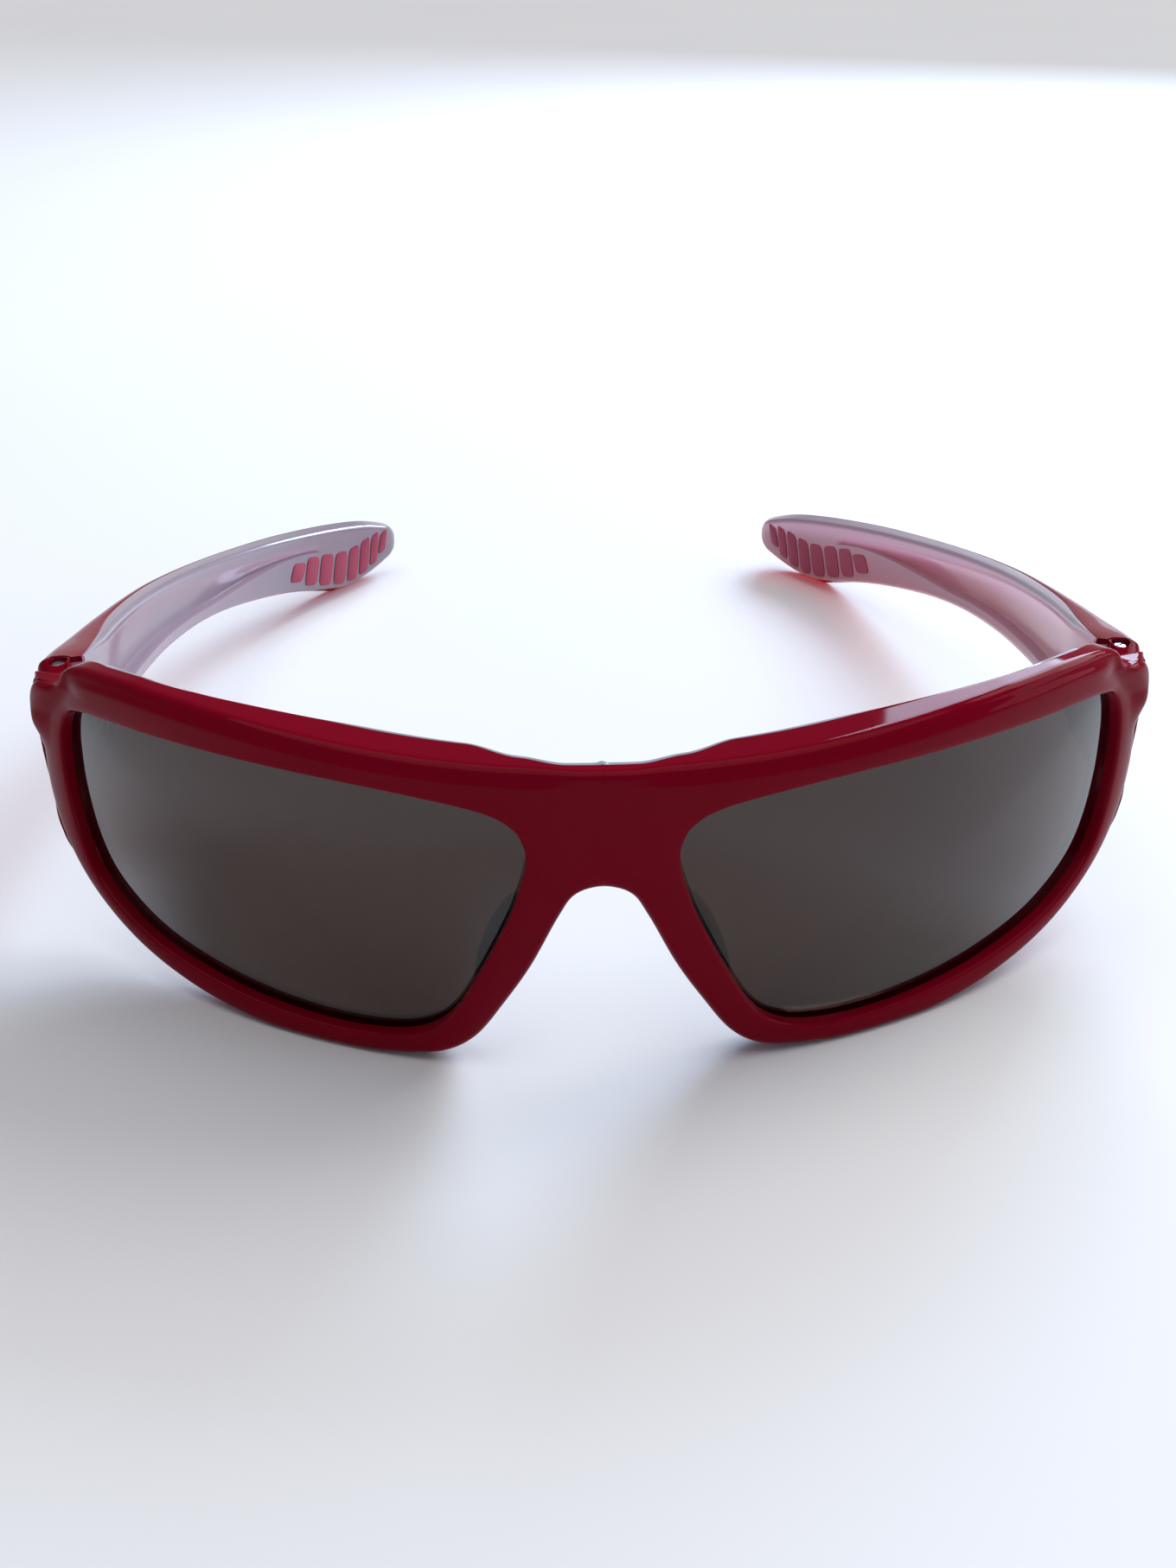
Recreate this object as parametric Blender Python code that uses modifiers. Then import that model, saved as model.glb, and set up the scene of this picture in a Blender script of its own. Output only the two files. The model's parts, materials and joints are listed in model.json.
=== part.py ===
"""Wraparound sport sunglasses.

A two-layer wrap front holds two tinted lenses, and two two-layer temples fold on steel hinges.
The object stands on the table as it is worn: the front faces -Y, the wearer's left is +X, the
temples run back along +Y, and the origin is on the table at the middle of the whole outline.
"""
import math

import bmesh
import bpy
from mathutils import Vector

MM = 0.001

# ---- driving dimensions, in millimetres --------------------------------------------------------
MID_DEPTH = 76.49          # from the bridge's face back to the middle of the whole depth
GAP = 0.3                  # air between pieces that touch

WRAP_RADIUS = 90.0         # the front's face is bent round this radius
SEAM_DEPTH = 34.5          # the plane where the front's endpieces meet the temples
EDGE_ROUND = 0.9           # rounding along the front's outer edge
LIP_ROUND = 0.3            # rounding along the lens opening
CROWN = 0.4                # how far the front's face stands proud between its edges

LENS_DEPTH = 2.0           # face of the lens, behind the face of the front
LENS_THICK = 1.5
LENS_OVERLAP = 0.8         # how far the lens runs into its groove
GROOVE = LENS_OVERLAP + GAP

RED_THICK = 3.5            # red layer of the front
BROW_EXTRA = 2.1           # what it gains along the top of the brow
BROW_TAPER = 3.1           # what it loses again towards the endpieces
BRIDGE_SAVING = 1.3        # what it loses at the top of the bridge
BACKING_THICK = 0.8        # milky layer of the front
BACKING_INSET = 0.3        # milky layer's edge, inside the red one's

PIN_X, PIN_Y = 66.4, SEAM_DEPTH
PIN_RADIUS = 0.5
PIN_HEAD_RADIUS = 1.1
KNUCKLE_RADIUS = 1.3
KNUCKLE_BORE = 0.8
HINGE_LOW, HINGE_HIGH = 28.2, 36.4
LEAF_THICK = 0.7
FOLD_CLEARANCE = 36.0      # degrees of the temple's inner front corner that is cut away

# The front's two outlines, as matched pairs: outer x, outer z, opening x, opening z.
# They run from the top of the nose arch down, out, up and back along the brow to the bridge.
RIM = (
    (0.0, 25.4, 8.9, 26.4),
    (3.0, 24.4, 9.6, 24.0),
    (5.0, 21.3, 10.6, 21.0),
    (8.2, 14.6, 12.6, 16.5),
    (11.4, 9.2, 15.0, 11.6),
    (14.8, 4.2, 17.3, 7.6),
    (18.4, 1.6, 19.9, 5.0),
    (23.0, 0.6, 24.0, 3.4),
    (31.0, -0.15, 31.0, 2.8),
    (40.0, -0.05, 40.0, 3.3),
    (50.0, 1.7, 49.0, 4.7),
    (58.5, 4.8, 57.0, 7.0),
    (65.0, 9.6, 62.7, 10.9),
    (68.3, 15.0, 65.1, 15.6),
    (69.5, 21.0, 66.0, 22.0),
    (69.3, 27.0, 65.8, 27.8),
    (69.3, 32.8, 65.0, 32.0),
    (67.9, 37.0, 63.4, 34.9),
    (64.6, 38.0, 60.6, 36.1),
    (60.6, 41.3, 57.0, 36.6),
    (53.5, 42.3, 51.5, 36.9),
    (44.5, 42.1, 44.0, 37.2),
    (35.5, 41.5, 36.0, 37.2),
    (27.0, 40.9, 28.0, 36.9),
    (18.5, 40.4, 20.0, 36.1),
    (10.5, 40.1, 13.3, 34.8),
    (4.5, 40.0, 10.0, 33.0),
    (0.0, 40.0, 8.7, 30.7),
)
NOSE_SIDE = (8.5, 28.6)    # the opening's point nearest the nose, level with the bridge

# A temple's stations from hinge to tip: x and y of its outer top edge, top z, outer bottom z,
# inner bottom z, width, and how far the outer face bulges.
TEMPLE = (
    (68.6, 34.65, 38.0, 19.6, 20.2, 5.2, 1.5),
    (68.9, 40.0, 36.8, 21.3, 21.8, 5.2, 1.3),
    (69.1, 48.0, 34.9, 21.8, 22.1, 5.0, 0.9),
    (69.3, 60.0, 32.2, 20.0, 20.4, 4.3, 0.6),
    (69.1, 72.0, 29.5, 18.1, 18.5, 3.9, 0.4),
    (68.4, 84.0, 26.8, 16.2, 16.6, 3.8, 0.3),
    (66.7, 96.0, 24.1, 14.2, 14.6, 3.8, 0.3),
    (64.3, 107.0, 21.6, 11.9, 12.3, 3.9, 0.3),
    (61.1, 118.0, 19.1, 9.0, 9.4, 4.1, 0.3),
    (57.3, 128.0, 16.9, 5.9, 6.5, 4.3, 0.3),
    (52.9, 136.5, 15.0, 2.6, 3.8, 4.4, 0.3),
    (47.9, 143.6, 13.4, -0.15, 1.9, 4.4, 0.3),
    (43.2, 148.7, 12.0, 0.5, 3.0, 4.2, 0.3),
    (39.2, 152.0, 10.3, 2.5, 4.6, 3.4, 0.2),
    (37.2, 153.3, 8.9, 4.6, 5.9, 2.3, 0.1),
)
SHELL_SPLIT = (2.6, 2.6, 2.5, 1.9, 1.5, 1.3, 1.3, 1.3, 1.3, 1.3, 1.3, 1.3, 1.3, 1.2, 0.9)
RECESS_END = 10.2          # the station where the liner's recess runs out to a point
RECESS_DEPTH = 1.0
PAD_START, PAD_END = 9.15, 12.75
PAD_BLOCKS = 6
PAD_DEPTH = 0.9            # pocket for the pad in the liner's face
PAD_PROUD = 0.3
BADGE_Y, BADGE_Z = 42.0, 27.0
BADGE_LONG, BADGE_HIGH = 4.0, 2.4


# ---- scene helpers -----------------------------------------------------------------------------
def clear_scene():
    for item in list(bpy.data.objects):
        bpy.data.objects.remove(item, do_unlink=True)


def make_collection(name):
    collection = bpy.data.collections.new(name)
    bpy.context.scene.collection.children.link(collection)
    return collection


def make_material(name, colour, roughness, metallic=0.0, alpha=1.0):
    material = bpy.data.materials.new(name)
    material.use_nodes = True
    shader = material.node_tree.nodes["Principled BSDF"]
    shader.inputs["Base Color"].default_value = (*colour, 1.0)
    shader.inputs["Roughness"].default_value = roughness
    shader.inputs["Metallic"].default_value = metallic
    shader.inputs["Alpha"].default_value = alpha
    material.diffuse_color = (*colour, alpha)
    return material


def place(x, y, z):
    """Millimetres from the bridge's face to metres from the object's origin."""
    return Vector((x * MM, (y - MID_DEPTH) * MM, z * MM))


def make_object(name, mesh, collection, material=None, parent=None):
    item = bpy.data.objects.new(name, mesh)
    collection.objects.link(item)
    if material:
        mesh.materials.append(material)
        mesh.shade_smooth()
        mesh.set_sharp_from_angle(angle=math.radians(35))
    else:
        item.hide_render = True
        item.display_type = "WIRE"
    if parent:
        item.parent = parent
        item.matrix_parent_inverse = parent.matrix_world.inverted()
    return item


def mesh_from(bm, name):
    mesh = bpy.data.meshes.new(name)
    bmesh.ops.recalc_face_normals(bm, faces=bm.faces)
    bm.to_mesh(mesh)
    bm.free()
    return mesh


def cut(target, *cutters):
    for cutter in cutters:
        boolean = target.modifiers.new("cut_" + cutter.name, "BOOLEAN")
        boolean.operation = "DIFFERENCE"
        boolean.object = cutter


# ---- curves and profiles -----------------------------------------------------------------------
def blend(low, high, value):
    """Smooth step from 0 at low to 1 at high."""
    t = min(max((value - low) / (high - low), 0.0), 1.0)
    return t * t * (3.0 - 2.0 * t)


def catmull(four, t):
    """Catmull-Rom curve between the middle two of four points."""
    return tuple(
        0.5 * (2 * b + (c - a) * t + (2 * a - 5 * b + 4 * c - d) * t**2 + (3 * b - a - 3 * c + d) * t**3)
        for a, b, c, d in zip(*four)
    )


def along(rows, position):
    """Row of numbers at a place between rows, counted in rows from the first."""
    index = min(int(position), len(rows) - 2)
    four = [rows[min(max(index + k, 0), len(rows) - 1)] for k in (-1, 0, 1, 2)]
    return catmull(four, position - index)


def round_over(distance, radius):
    """How far a quarter-round edge has fallen away at a distance from the edge."""
    if distance >= radius:
        return 0.0
    return radius - math.sqrt(radius**2 - (radius - distance) ** 2)


def between(start, end, share):
    return tuple(a + (b - a) * share for a, b in zip(start, end))


def unroll(x):
    return WRAP_RADIUS * math.asin(x / WRAP_RADIUS)


def wrapped(u, z, depth, side=1):
    """A place on the front: u mm round the wrap, z up, depth behind the face."""
    angle = u / WRAP_RADIUS
    radius = WRAP_RADIUS - depth
    return place(side * radius * math.sin(angle), WRAP_RADIUS - radius * math.cos(angle), z)


# ---- the front's outlines ----------------------------------------------------------------------
LAST = len(RIM) - 1
STATION_SPLITS = 2
BACK_SHARES = (0.0, 0.25, 0.5, 0.75)
OUTER = [(unroll(row[0]), row[1]) for row in RIM]
OPENING = [(unroll(row[2]), row[3]) for row in RIM] + [(unroll(NOSE_SIDE[0]), NOSE_SIDE[1])]


def outer_at(position):
    """The front's outer outline; past the bridge it comes straight down the mirror plane."""
    if position > LAST:
        share = (position - LAST) / 2.0
        return (0.0, OUTER[LAST][1] + (OUTER[0][1] - OUTER[LAST][1]) * share)

    def point(k):
        if k < 0:
            return (-OUTER[-k][0], OUTER[-k][1])
        if k > LAST:
            return (-OUTER[2 * LAST - k][0], OUTER[2 * LAST - k][1])
        return OUTER[k]

    index = min(int(position), LAST - 1)
    u, z = catmull([point(index + k) for k in (-1, 0, 1, 2)], position - index)
    return (max(u, 0.0), max(z, 0.0))


def opening_at(position):
    index = int(position)
    four = [OPENING[(index + k) % len(OPENING)] for k in (-1, 0, 1, 2)]
    return catmull(four, position - index)


def front_positions():
    rim = [k / STATION_SPLITS for k in range(LAST * STATION_SPLITS + 1)]
    bridge = [LAST + share for share in (0.07, 0.24, 0.7, 1.3, 1.76, 1.93)]
    return rim + bridge


POSITIONS = front_positions()
OUTLINE = [outer_at(k / 8.0) for k in range(LAST * 8 + 1)]


def edge_distance(u, z):
    """Distance to the front's outer outline, measured round the wrap."""
    best = 1e9
    for (au, az), (bu, bz) in zip(OUTLINE, OUTLINE[1:]):
        du, dz = bu - au, bz - az
        length = du * du + dz * dz
        share = ((u - au) * du + (z - az) * dz) / length if length else 0.0
        share = min(max(share, 0.0), 1.0)
        best = min(best, math.hypot(u - au - share * du, z - az - share * dz))
    return best


def grown_opening(offset):
    """The lens opening moved outwards by an offset, one point for each station."""
    points = [opening_at(p) for p in POSITIONS]
    grown = []
    for k, (u, z) in enumerate(points):
        before, after = points[k - 1], points[(k + 1) % len(points)]
        du, dz = after[0] - before[0], after[1] - before[1]
        length = math.hypot(du, dz)
        grown.append((u + offset * dz / length, z - offset * du / length))
    return grown


def endpiece_relief(u, z):
    """The endpiece stands proud of the wrap, with a groove between it and the brow."""
    swell = 1.2 * blend(70.5, 75.5, u) * blend(27.5, 32.5, z)
    groove_u = 71.8 - 0.55 * (z - 33.0)
    groove = 0.8 * math.exp(-(((u - groove_u) / 1.7) ** 2)) * blend(30.0, 37.0, z)
    return groove - swell


def face_depth(u, z, from_opening):
    rim = edge_distance(u, z)
    crown = CROWN * blend(0.0, 2.2, rim) * blend(0.0, 2.2, from_opening)
    rounds = round_over(rim, EDGE_ROUND) + round_over(from_opening, LIP_ROUND)
    return endpiece_relief(u, z) - crown + rounds


def seam_limit(u, clearance):
    """Depth at which a line through the front reaches the temples' seam."""
    return WRAP_RADIUS - (WRAP_RADIUS - SEAM_DEPTH + clearance) / math.cos(u / WRAP_RADIUS)


def red_depth(u, z):
    brow = BROW_EXTRA * blend(9.0, 16.0, u) - BROW_TAPER * blend(29.0, 58.0, u)
    depth = RED_THICK + brow * blend(37.5, 40.3, z) * (1.0 - blend(64.0, 68.0, u))
    depth -= BRIDGE_SAVING * (1.0 - blend(4.0, 9.5, u)) * blend(30.0, 37.0, z)
    return min(depth, seam_limit(u, GAP / 2))


def backing_depth(u, z):
    return min(red_depth(u, z) + GAP + BACKING_THICK, seam_limit(u, GAP / 2))


# ---- solids of the front -----------------------------------------------------------------------
def front_half(rings, name):
    """Half of a layer of the front, from closed rings that run round one of its sections.

    Each ring is a list of places for every station round the lens, and the last ring joins the
    first. The stretch on the mirror plane is left open, for the Mirror modifier to close.
    """
    bm = bmesh.new()
    grid = [[bm.verts.new(point) for point in ring] for ring in rings]
    stations = len(POSITIONS)
    for row, after in zip(grid, grid[1:] + grid[:1]):
        for k in range(stations):
            n = (k + 1) % stations
            corners = (row[k], row[n], after[n], after[k])
            if all(abs(corner.co.x) < 1e-7 for corner in corners):
                continue
            bm.faces.new(corners)
    return mesh_from(bm, name)


def mirrored(item):
    mirror = item.modifiers.new("other_half", "MIRROR")
    mirror.merge_threshold = 0.00001
    return item


def red_rings():
    """Rings of the red layer: its face from the opening outwards, then its back and the groove."""
    outer = [outer_at(p) for p in POSITIONS]
    opening = [opening_at(p) for p in POSITIONS]
    groove = grown_opening(GROOVE)
    stations = range(len(POSITIONS))

    def face_ring(step):
        ring = []
        for k in stations:
            length = math.dist(opening[k], outer[k])
            inner, rim = 0.5, length - EDGE_ROUND
            offset = (0.0, inner, inner + (rim - inner) * 0.33, inner + (rim - inner) * 0.67,
                      rim, length - 0.3, length)[step]
            u, z = between(opening[k], outer[k], offset / length)
            ring.append(wrapped(u, z, face_depth(u, z, offset)))
        return ring

    def back_ring(share):
        ring = []
        for k in stations:
            u, z = between(groove[k], outer[k], share)
            ring.append(wrapped(u, z, red_depth(u, z)))
        return ring

    rings = [face_ring(step) for step in range(7)]
    rings += [back_ring(share) for share in (1.0, *reversed(BACK_SHARES))]
    rings.append([wrapped(u, z, LENS_DEPTH - GAP) for u, z in groove])
    rings.append([wrapped(u, z, LENS_DEPTH - GAP) for u, z in opening])
    return rings


def backing_edge(k):
    """How far out of the groove the milky layer reaches: it stops short of the rim and the hinge."""
    length = math.dist(grown_opening(GROOVE)[k], outer_at(POSITIONS[k]))
    hinge = blend(11.5, 14.5, POSITIONS[k]) * (1.0 - blend(17.5, 19.5, POSITIONS[k]))
    inset = BACKING_INSET + hinge * (length - 0.9 - BACKING_INSET)
    return 1.0 - inset / length


def backing_rings():
    opening = [opening_at(p) for p in POSITIONS]
    groove = grown_opening(GROOVE)
    outer = [outer_at(p) for p in POSITIONS]
    edges = [backing_edge(k) for k in range(len(POSITIONS))]
    stations = range(len(POSITIONS))

    def rim_point(k):
        """Outer edge of the layer; on the bridge it stays on the mirror plane."""
        if outer[k][0] > 0.0:
            return between(groove[k], outer[k], edges[k])
        return (0.0, min(max(outer[k][1], OUTER[0][1] + BACKING_INSET), OUTER[LAST][1] - BACKING_INSET))

    def front_ring(share):
        ring = []
        for k in stations:
            reach = share * min(1.0, edges[k] / 0.93)
            u, z = rim_point(k) if share == 1.0 else between(groove[k], outer[k], reach)
            ring.append(wrapped(u, z, red_depth(u, z) + GAP))
        return ring

    def back_ring(share):
        ring = []
        for k in stations:
            u, z = between(opening[k], rim_point(k), share)
            ring.append(wrapped(u, z, backing_depth(u, z)))
        return ring

    rings = [front_ring(share) for share in (*BACK_SHARES, 1.0)]
    rings += [back_ring(share) for share in (1.0, 0.8, 0.6, 0.4, 0.2, 0.0)]
    rings.append([wrapped(*opening[k], red_depth(*groove[k]) + GAP) for k in stations])
    return rings


def lens_mesh(side, name):
    """A lens: two parallel wrapped sheets inside one edge that runs in the groove."""
    edge = grown_opening(LENS_OVERLAP)
    middle = (unroll(37.0), 20.5)
    shares = (1.0, 0.72, 0.42, 0.14)
    bm = bmesh.new()

    def sheet(depth):
        rings = []
        for share in shares:
            rings.append([
                bm.verts.new(wrapped(middle[0] + (u - middle[0]) * share,
                                     middle[1] + (z - middle[1]) * share, depth, side))
                for u, z in edge
            ])
        for ring, inner in zip(rings, rings[1:]):
            join_rings(bm, ring, inner)
        bm.faces.new(rings[-1])
        return rings[0]

    join_rings(bm, sheet(LENS_DEPTH), sheet(LENS_DEPTH + LENS_THICK))
    return mesh_from(bm, name)


def join_rings(bm, ring, after):
    for k in range(len(ring)):
        n = (k + 1) % len(ring)
        bm.faces.new((ring[k], ring[n], after[n], after[k]))


def nose_pad_mesh(side, name):
    """A soft domed pad on the back of a nose leg, leaning towards the nose."""
    top, bottom = Vector((9.6, 21.6)), Vector((15.2, 8.6))
    centre = (top + bottom) / 2
    axis = (bottom - top).normalized()
    across = Vector((-axis.y, axis.x))
    half_long, half_wide, height = (bottom - top).length / 2, 1.75, 2.9
    bm = bmesh.new()
    turns = 20

    def ring(share, rise):
        points = []
        for k in range(turns):
            angle = 2 * math.pi * k / turns
            flat = centre + axis * half_long * share * math.cos(angle)
            flat += across * (half_wide * share * math.sin(angle) + 0.35 * rise)
            u = unroll(flat.x)
            points.append(bm.verts.new(wrapped(u, flat.y, backing_depth(u, flat.y) + GAP + rise, side)))
        return points

    seat = ring(1.0, 0.0)
    bm.faces.new(seat)
    for share in (1.02, 0.9, 0.66, 0.34):
        dome = ring(share, 0.5 + (height - 0.5) * math.sqrt(max(0.0, 1.04 - share**2)))
        join_rings(bm, seat, dome)
        seat = dome
    bm.faces.new(seat)
    return mesh_from(bm, name)


# ---- solids of a temple ------------------------------------------------------------------------
def temple_station(position):
    """Frame of one station: outer edge, inward direction, top, bottom, width and bulge."""
    x, y, top, bottom, inner_bottom, width, bulge = along(TEMPLE, position)
    low, high = max(position - 0.05, 0.0), min(position + 0.05, len(TEMPLE) - 1.0)
    before, after = along(TEMPLE, low), along(TEMPLE, high)
    heading = Vector((after[0] - before[0], after[1] - before[1])).normalized()
    inward = Vector((-heading.y, heading.x))
    if position == 0.0:
        inward = Vector((-1.0, 0.0))
    return Vector((x, y)), inward, top, max(bottom, 0.0), inner_bottom, width, bulge


def temple_point(station, inset, z, side):
    edge, inward = station[0], station[1]
    flat = edge + inward * inset
    return place(side * flat.x, flat.y, z)


def single(values, position):
    return along([(value,) for value in values], position)[0]


def outer_inset(station, share, corner):
    """Outer face of a temple at a share of its height: rounded edges and a slight bulge."""
    bulge = station[6]
    swell = bulge * math.sin(math.pi * min(max(0.1 + 0.9 * share, 0.0), 1.0)) ** 0.8
    return corner - swell


def shell_ring(position, side):
    """Section of the red shell, from its bottom edge up the outside and down the inside."""
    station = temple_station(position)
    top, bottom = station[2], station[3]
    height = top - bottom
    split = single(SHELL_SPLIT, position)
    edge = min(0.9, 0.6 * split)
    outside = ((0.0, edge), (0.07, edge * 0.3), (0.25, 0.0), (0.5, 0.0), (0.75, 0.0),
               (0.93, edge * 0.3), (1.0, edge))
    points = [
        temple_point(station, outer_inset(station, share, corner), bottom + share * height, side)
        for share, corner in outside
    ]
    floor = bottom_at(station, split)
    inside = (top, (top + floor) / 2, floor)
    points += [temple_point(station, split, z, side) for z in inside]
    return points


def bottom_at(station, inset):
    """Height of the temple's slanting underside at a distance in from its outer edge."""
    bottom, inner_bottom, width = station[3], station[4], station[5]
    return bottom + (inner_bottom - bottom) * min(inset / width, 1.0)


def liner_ring(position, side):
    """Section of the milky liner, with the recess along its inner face."""
    station = temple_station(position)
    top, bottom, width = station[2], station[4], station[5]
    height = top - bottom
    split = single(SHELL_SPLIT, position) + GAP
    fade = 1.0 - blend(RECESS_END - 3.0, RECESS_END, position)
    dip = min(RECESS_DEPTH * fade, 0.55 * (width - split))
    high = top - (0.14 + 0.16 * (1.0 - fade)) * height
    low = bottom + (0.30 + 0.22 * (1.0 - fade)) * height
    edge = min(0.7, 0.5 * (width - split))
    wall = 0.1 * (high - low)
    section = (
        (split, bottom_at(station, split)), (split, top), (width - edge, top), (width, top - edge), (width, high),
        (width - dip, high - wall), (width - dip, low + wall), (width, low),
        (width, bottom + edge), (width - edge, bottom_at(station, width - edge)),
    )
    return [temple_point(station, inset, z, side) for inset, z in section]


def lofted(ring_of, positions, side, name):
    bm = bmesh.new()
    rings = [[bm.verts.new(point) for point in ring_of(p, side)] for p in positions]
    for ring, after in zip(rings, rings[1:]):
        join_rings(bm, ring, after)
    bm.faces.new(rings[0])
    bm.faces.new(rings[-1])
    return mesh_from(bm, name)


def temple_positions(start, end, splits=2):
    count = round((end - start) * splits)
    return [start + (end - start) * k / count for k in range(count + 1)]


def pad_ring(position, side, floor, proud, margin):
    """Section of the tip pad, or of its pocket when it is grown by a margin."""
    station = temple_station(position)
    bottom, width = station[4], station[5]
    share = (position - PAD_START) / (PAD_END - PAD_START)
    ends = math.sqrt(max(0.02, 1.0 - abs(2.0 * min(max(share, 0.0), 1.0) - 1.0) ** 3.2))
    middle = bottom + 3.8
    half = 2.9 * ends
    low, high = middle - half - margin, middle + half + margin
    section = ((width - floor, low), (width - floor, high), (width + proud, high), (width + proud, low))
    return [temple_point(station, inset, z, side) for inset, z in section]


def pad_mesh(side, name):
    """The rubber pad: a strip of blocks with shallow grooves between them."""
    length = PAD_END - PAD_START
    positions = []
    for block in range(PAD_BLOCKS):
        start = PAD_START + length * block / PAD_BLOCKS
        step = length / PAD_BLOCKS
        positions += [(start + step * share, height) for share, height in
                      ((0.0, 0.0), (0.08, PAD_PROUD), (0.5, PAD_PROUD), (0.84, PAD_PROUD), (0.92, 0.0))]
    positions.append((PAD_END, 0.0))
    bm = bmesh.new()
    rings = []
    for position, height in positions:
        ring = pad_ring(position, side, PAD_DEPTH - GAP, height, 0.0)
        rings.append([bm.verts.new(point) for point in ring])
    for ring, after in zip(rings, rings[1:]):
        join_rings(bm, ring, after)
    bm.faces.new(rings[0])
    bm.faces.new(rings[-1])
    return mesh_from(bm, name)


def pocket_mesh(side, name):
    reach = 0.12
    positions = temple_positions(PAD_START - reach, PAD_END + reach, 3)

    def ring(position, side):
        return pad_ring(position, side, PAD_DEPTH, 2.0, GAP)

    return lofted(ring, positions, side, name)


# ---- hinge and badge ---------------------------------------------------------------------------
def cylinder_mesh(x, y, low, high, radius, name, turns=20):
    bm = bmesh.new()
    bmesh.ops.create_cone(bm, cap_ends=True, segments=turns, radius1=radius * MM,
                          radius2=radius * MM, depth=(high - low) * MM)
    bmesh.ops.translate(bm, verts=bm.verts, vec=place(x, y, (low + high) / 2))
    return mesh_from(bm, name)


def prism_mesh(corners, low, high, name):
    """An upright prism from the corners of its plan."""
    bm = bmesh.new()
    floor = [bm.verts.new(place(x, y, low)) for x, y in corners]
    roof = [bm.verts.new(place(x, y, high)) for x, y in corners]
    join_rings(bm, floor, roof)
    bm.faces.new(floor)
    bm.faces.new(roof)
    return mesh_from(bm, name)


def plank(start, end, half):
    """Plan of a straight plate between two points, given half its thickness."""
    run = (Vector(end) - Vector(start)).normalized()
    off = Vector((-run.y, run.x)) * half
    return [Vector(start) + off, Vector(end) + off, Vector(end) - off, Vector(start) - off]


def flipped(corners, side):
    return [(side * x, y) for x, y in corners]


def union(target, *others):
    for other in others:
        boolean = target.modifiers.new("with_" + other.name, "BOOLEAN")
        boolean.operation = "UNION"
        boolean.object = other


def knuckle_levels():
    third = (HINGE_HIGH - HINGE_LOW) / 3
    low, high = HINGE_LOW + third, HINGE_HIGH - third
    return low, high


LEAF_ROOM = ((64.7, 34.0), (66.5, 34.0), (66.5, 37.0), (66.9, 46.4), (65.0, 46.4), (64.7, 36.4))
ANCHOR_START, ANCHOR_END = (66.7, 33.6), (68.0, 30.9)


def front_leaf(side, word, collection, cutters, material):
    """Two knuckles on an anchor plate that runs forward into the endpiece."""
    low, high = knuckle_levels()
    x = side * PIN_X
    plate = prism_mesh(flipped(plank(ANCHOR_START, ANCHOR_END, LEAF_THICK / 2), side),
                       HINGE_LOW, HINGE_HIGH - 0.9, "hinge_front_leaf_" + word)
    leaf = make_object("hinge_front_leaf_" + word, plate, collection, material)
    solids = [
        cylinder_mesh(x, PIN_Y, HINGE_LOW, low - GAP / 2, KNUCKLE_RADIUS, "low_knuckle_" + word),
        cylinder_mesh(x, PIN_Y, high + GAP / 2, HINGE_HIGH, KNUCKLE_RADIUS, "high_knuckle_" + word),
        cylinder_mesh(x, PIN_Y, low - GAP / 2, high + GAP / 2, KNUCKLE_RADIUS + GAP, "mid_room_" + word),
        cylinder_mesh(x, PIN_Y, HINGE_LOW - 1, HINGE_HIGH + 1, KNUCKLE_BORE, "front_bore_" + word),
    ]
    tools = [make_object(mesh.name, mesh, cutters) for mesh in solids]
    union(leaf, *tools[:2])
    cut(leaf, *tools[2:])
    return leaf


def temple_leaf(side, word, collection, cutters, material, pivot):
    """One knuckle on a plate that lies between the temple's shell and its liner."""
    low, high = knuckle_levels()
    x = side * PIN_X
    low, high = low + GAP / 2, high - GAP / 2
    knuckle = cylinder_mesh(x, PIN_Y, low, high, KNUCKLE_RADIUS, "hinge_temple_leaf_" + word)
    leaf = make_object("hinge_temple_leaf_" + word, knuckle, collection, material, pivot)
    neck = ((65.2, 34.7), (66.1, 35.0), (65.7, 35.8), (65.7, 37.2), (65.05, 37.2))
    solids = [
        prism_mesh(flipped(neck, side), low, high, "neck_" + word),
        prism_mesh(flipped(plank((65.35, 36.7), (65.75, 46.0), LEAF_THICK / 2), side),
                   low - 1.2, high + 0.6, "leaf_plate_" + word),
        cylinder_mesh(x, PIN_Y, low - 2, high + 2, KNUCKLE_BORE, "temple_bore_" + word),
    ]
    tools = [make_object(mesh.name, mesh, cutters) for mesh in solids]
    union(leaf, *tools[:2])
    cut(leaf, tools[2])
    return leaf


def screw_mesh(side, name):
    """A turned screw: slim shank and a low domed head on top of the knuckles."""
    head_low = HINGE_HIGH + GAP
    profile = (
        (0.0, head_low + 0.75), (PIN_HEAD_RADIUS * 0.6, head_low + 0.65),
        (PIN_HEAD_RADIUS, head_low + 0.3), (PIN_HEAD_RADIUS, head_low), (PIN_RADIUS, head_low),
        (PIN_RADIUS, HINGE_LOW - 0.4), (0.0, HINGE_LOW - 0.4),
    )
    bm = bmesh.new()
    turns = 16
    rings = []
    for radius, z in profile[1:-1]:
        rings.append([
            bm.verts.new(place(side * PIN_X + radius * math.cos(2 * math.pi * k / turns),
                               PIN_Y + radius * math.sin(2 * math.pi * k / turns), z))
            for k in range(turns)
        ])
    for ring, after in zip(rings, rings[1:]):
        join_rings(bm, ring, after)
    for ring, (_, z) in ((rings[0], profile[0]), (rings[-1], profile[-1])):
        tip = bm.verts.new(place(side * PIN_X, PIN_Y, z))
        for k in range(turns):
            bm.faces.new((ring[k], ring[(k + 1) % turns], tip))
    return mesh_from(bm, name)


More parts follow.
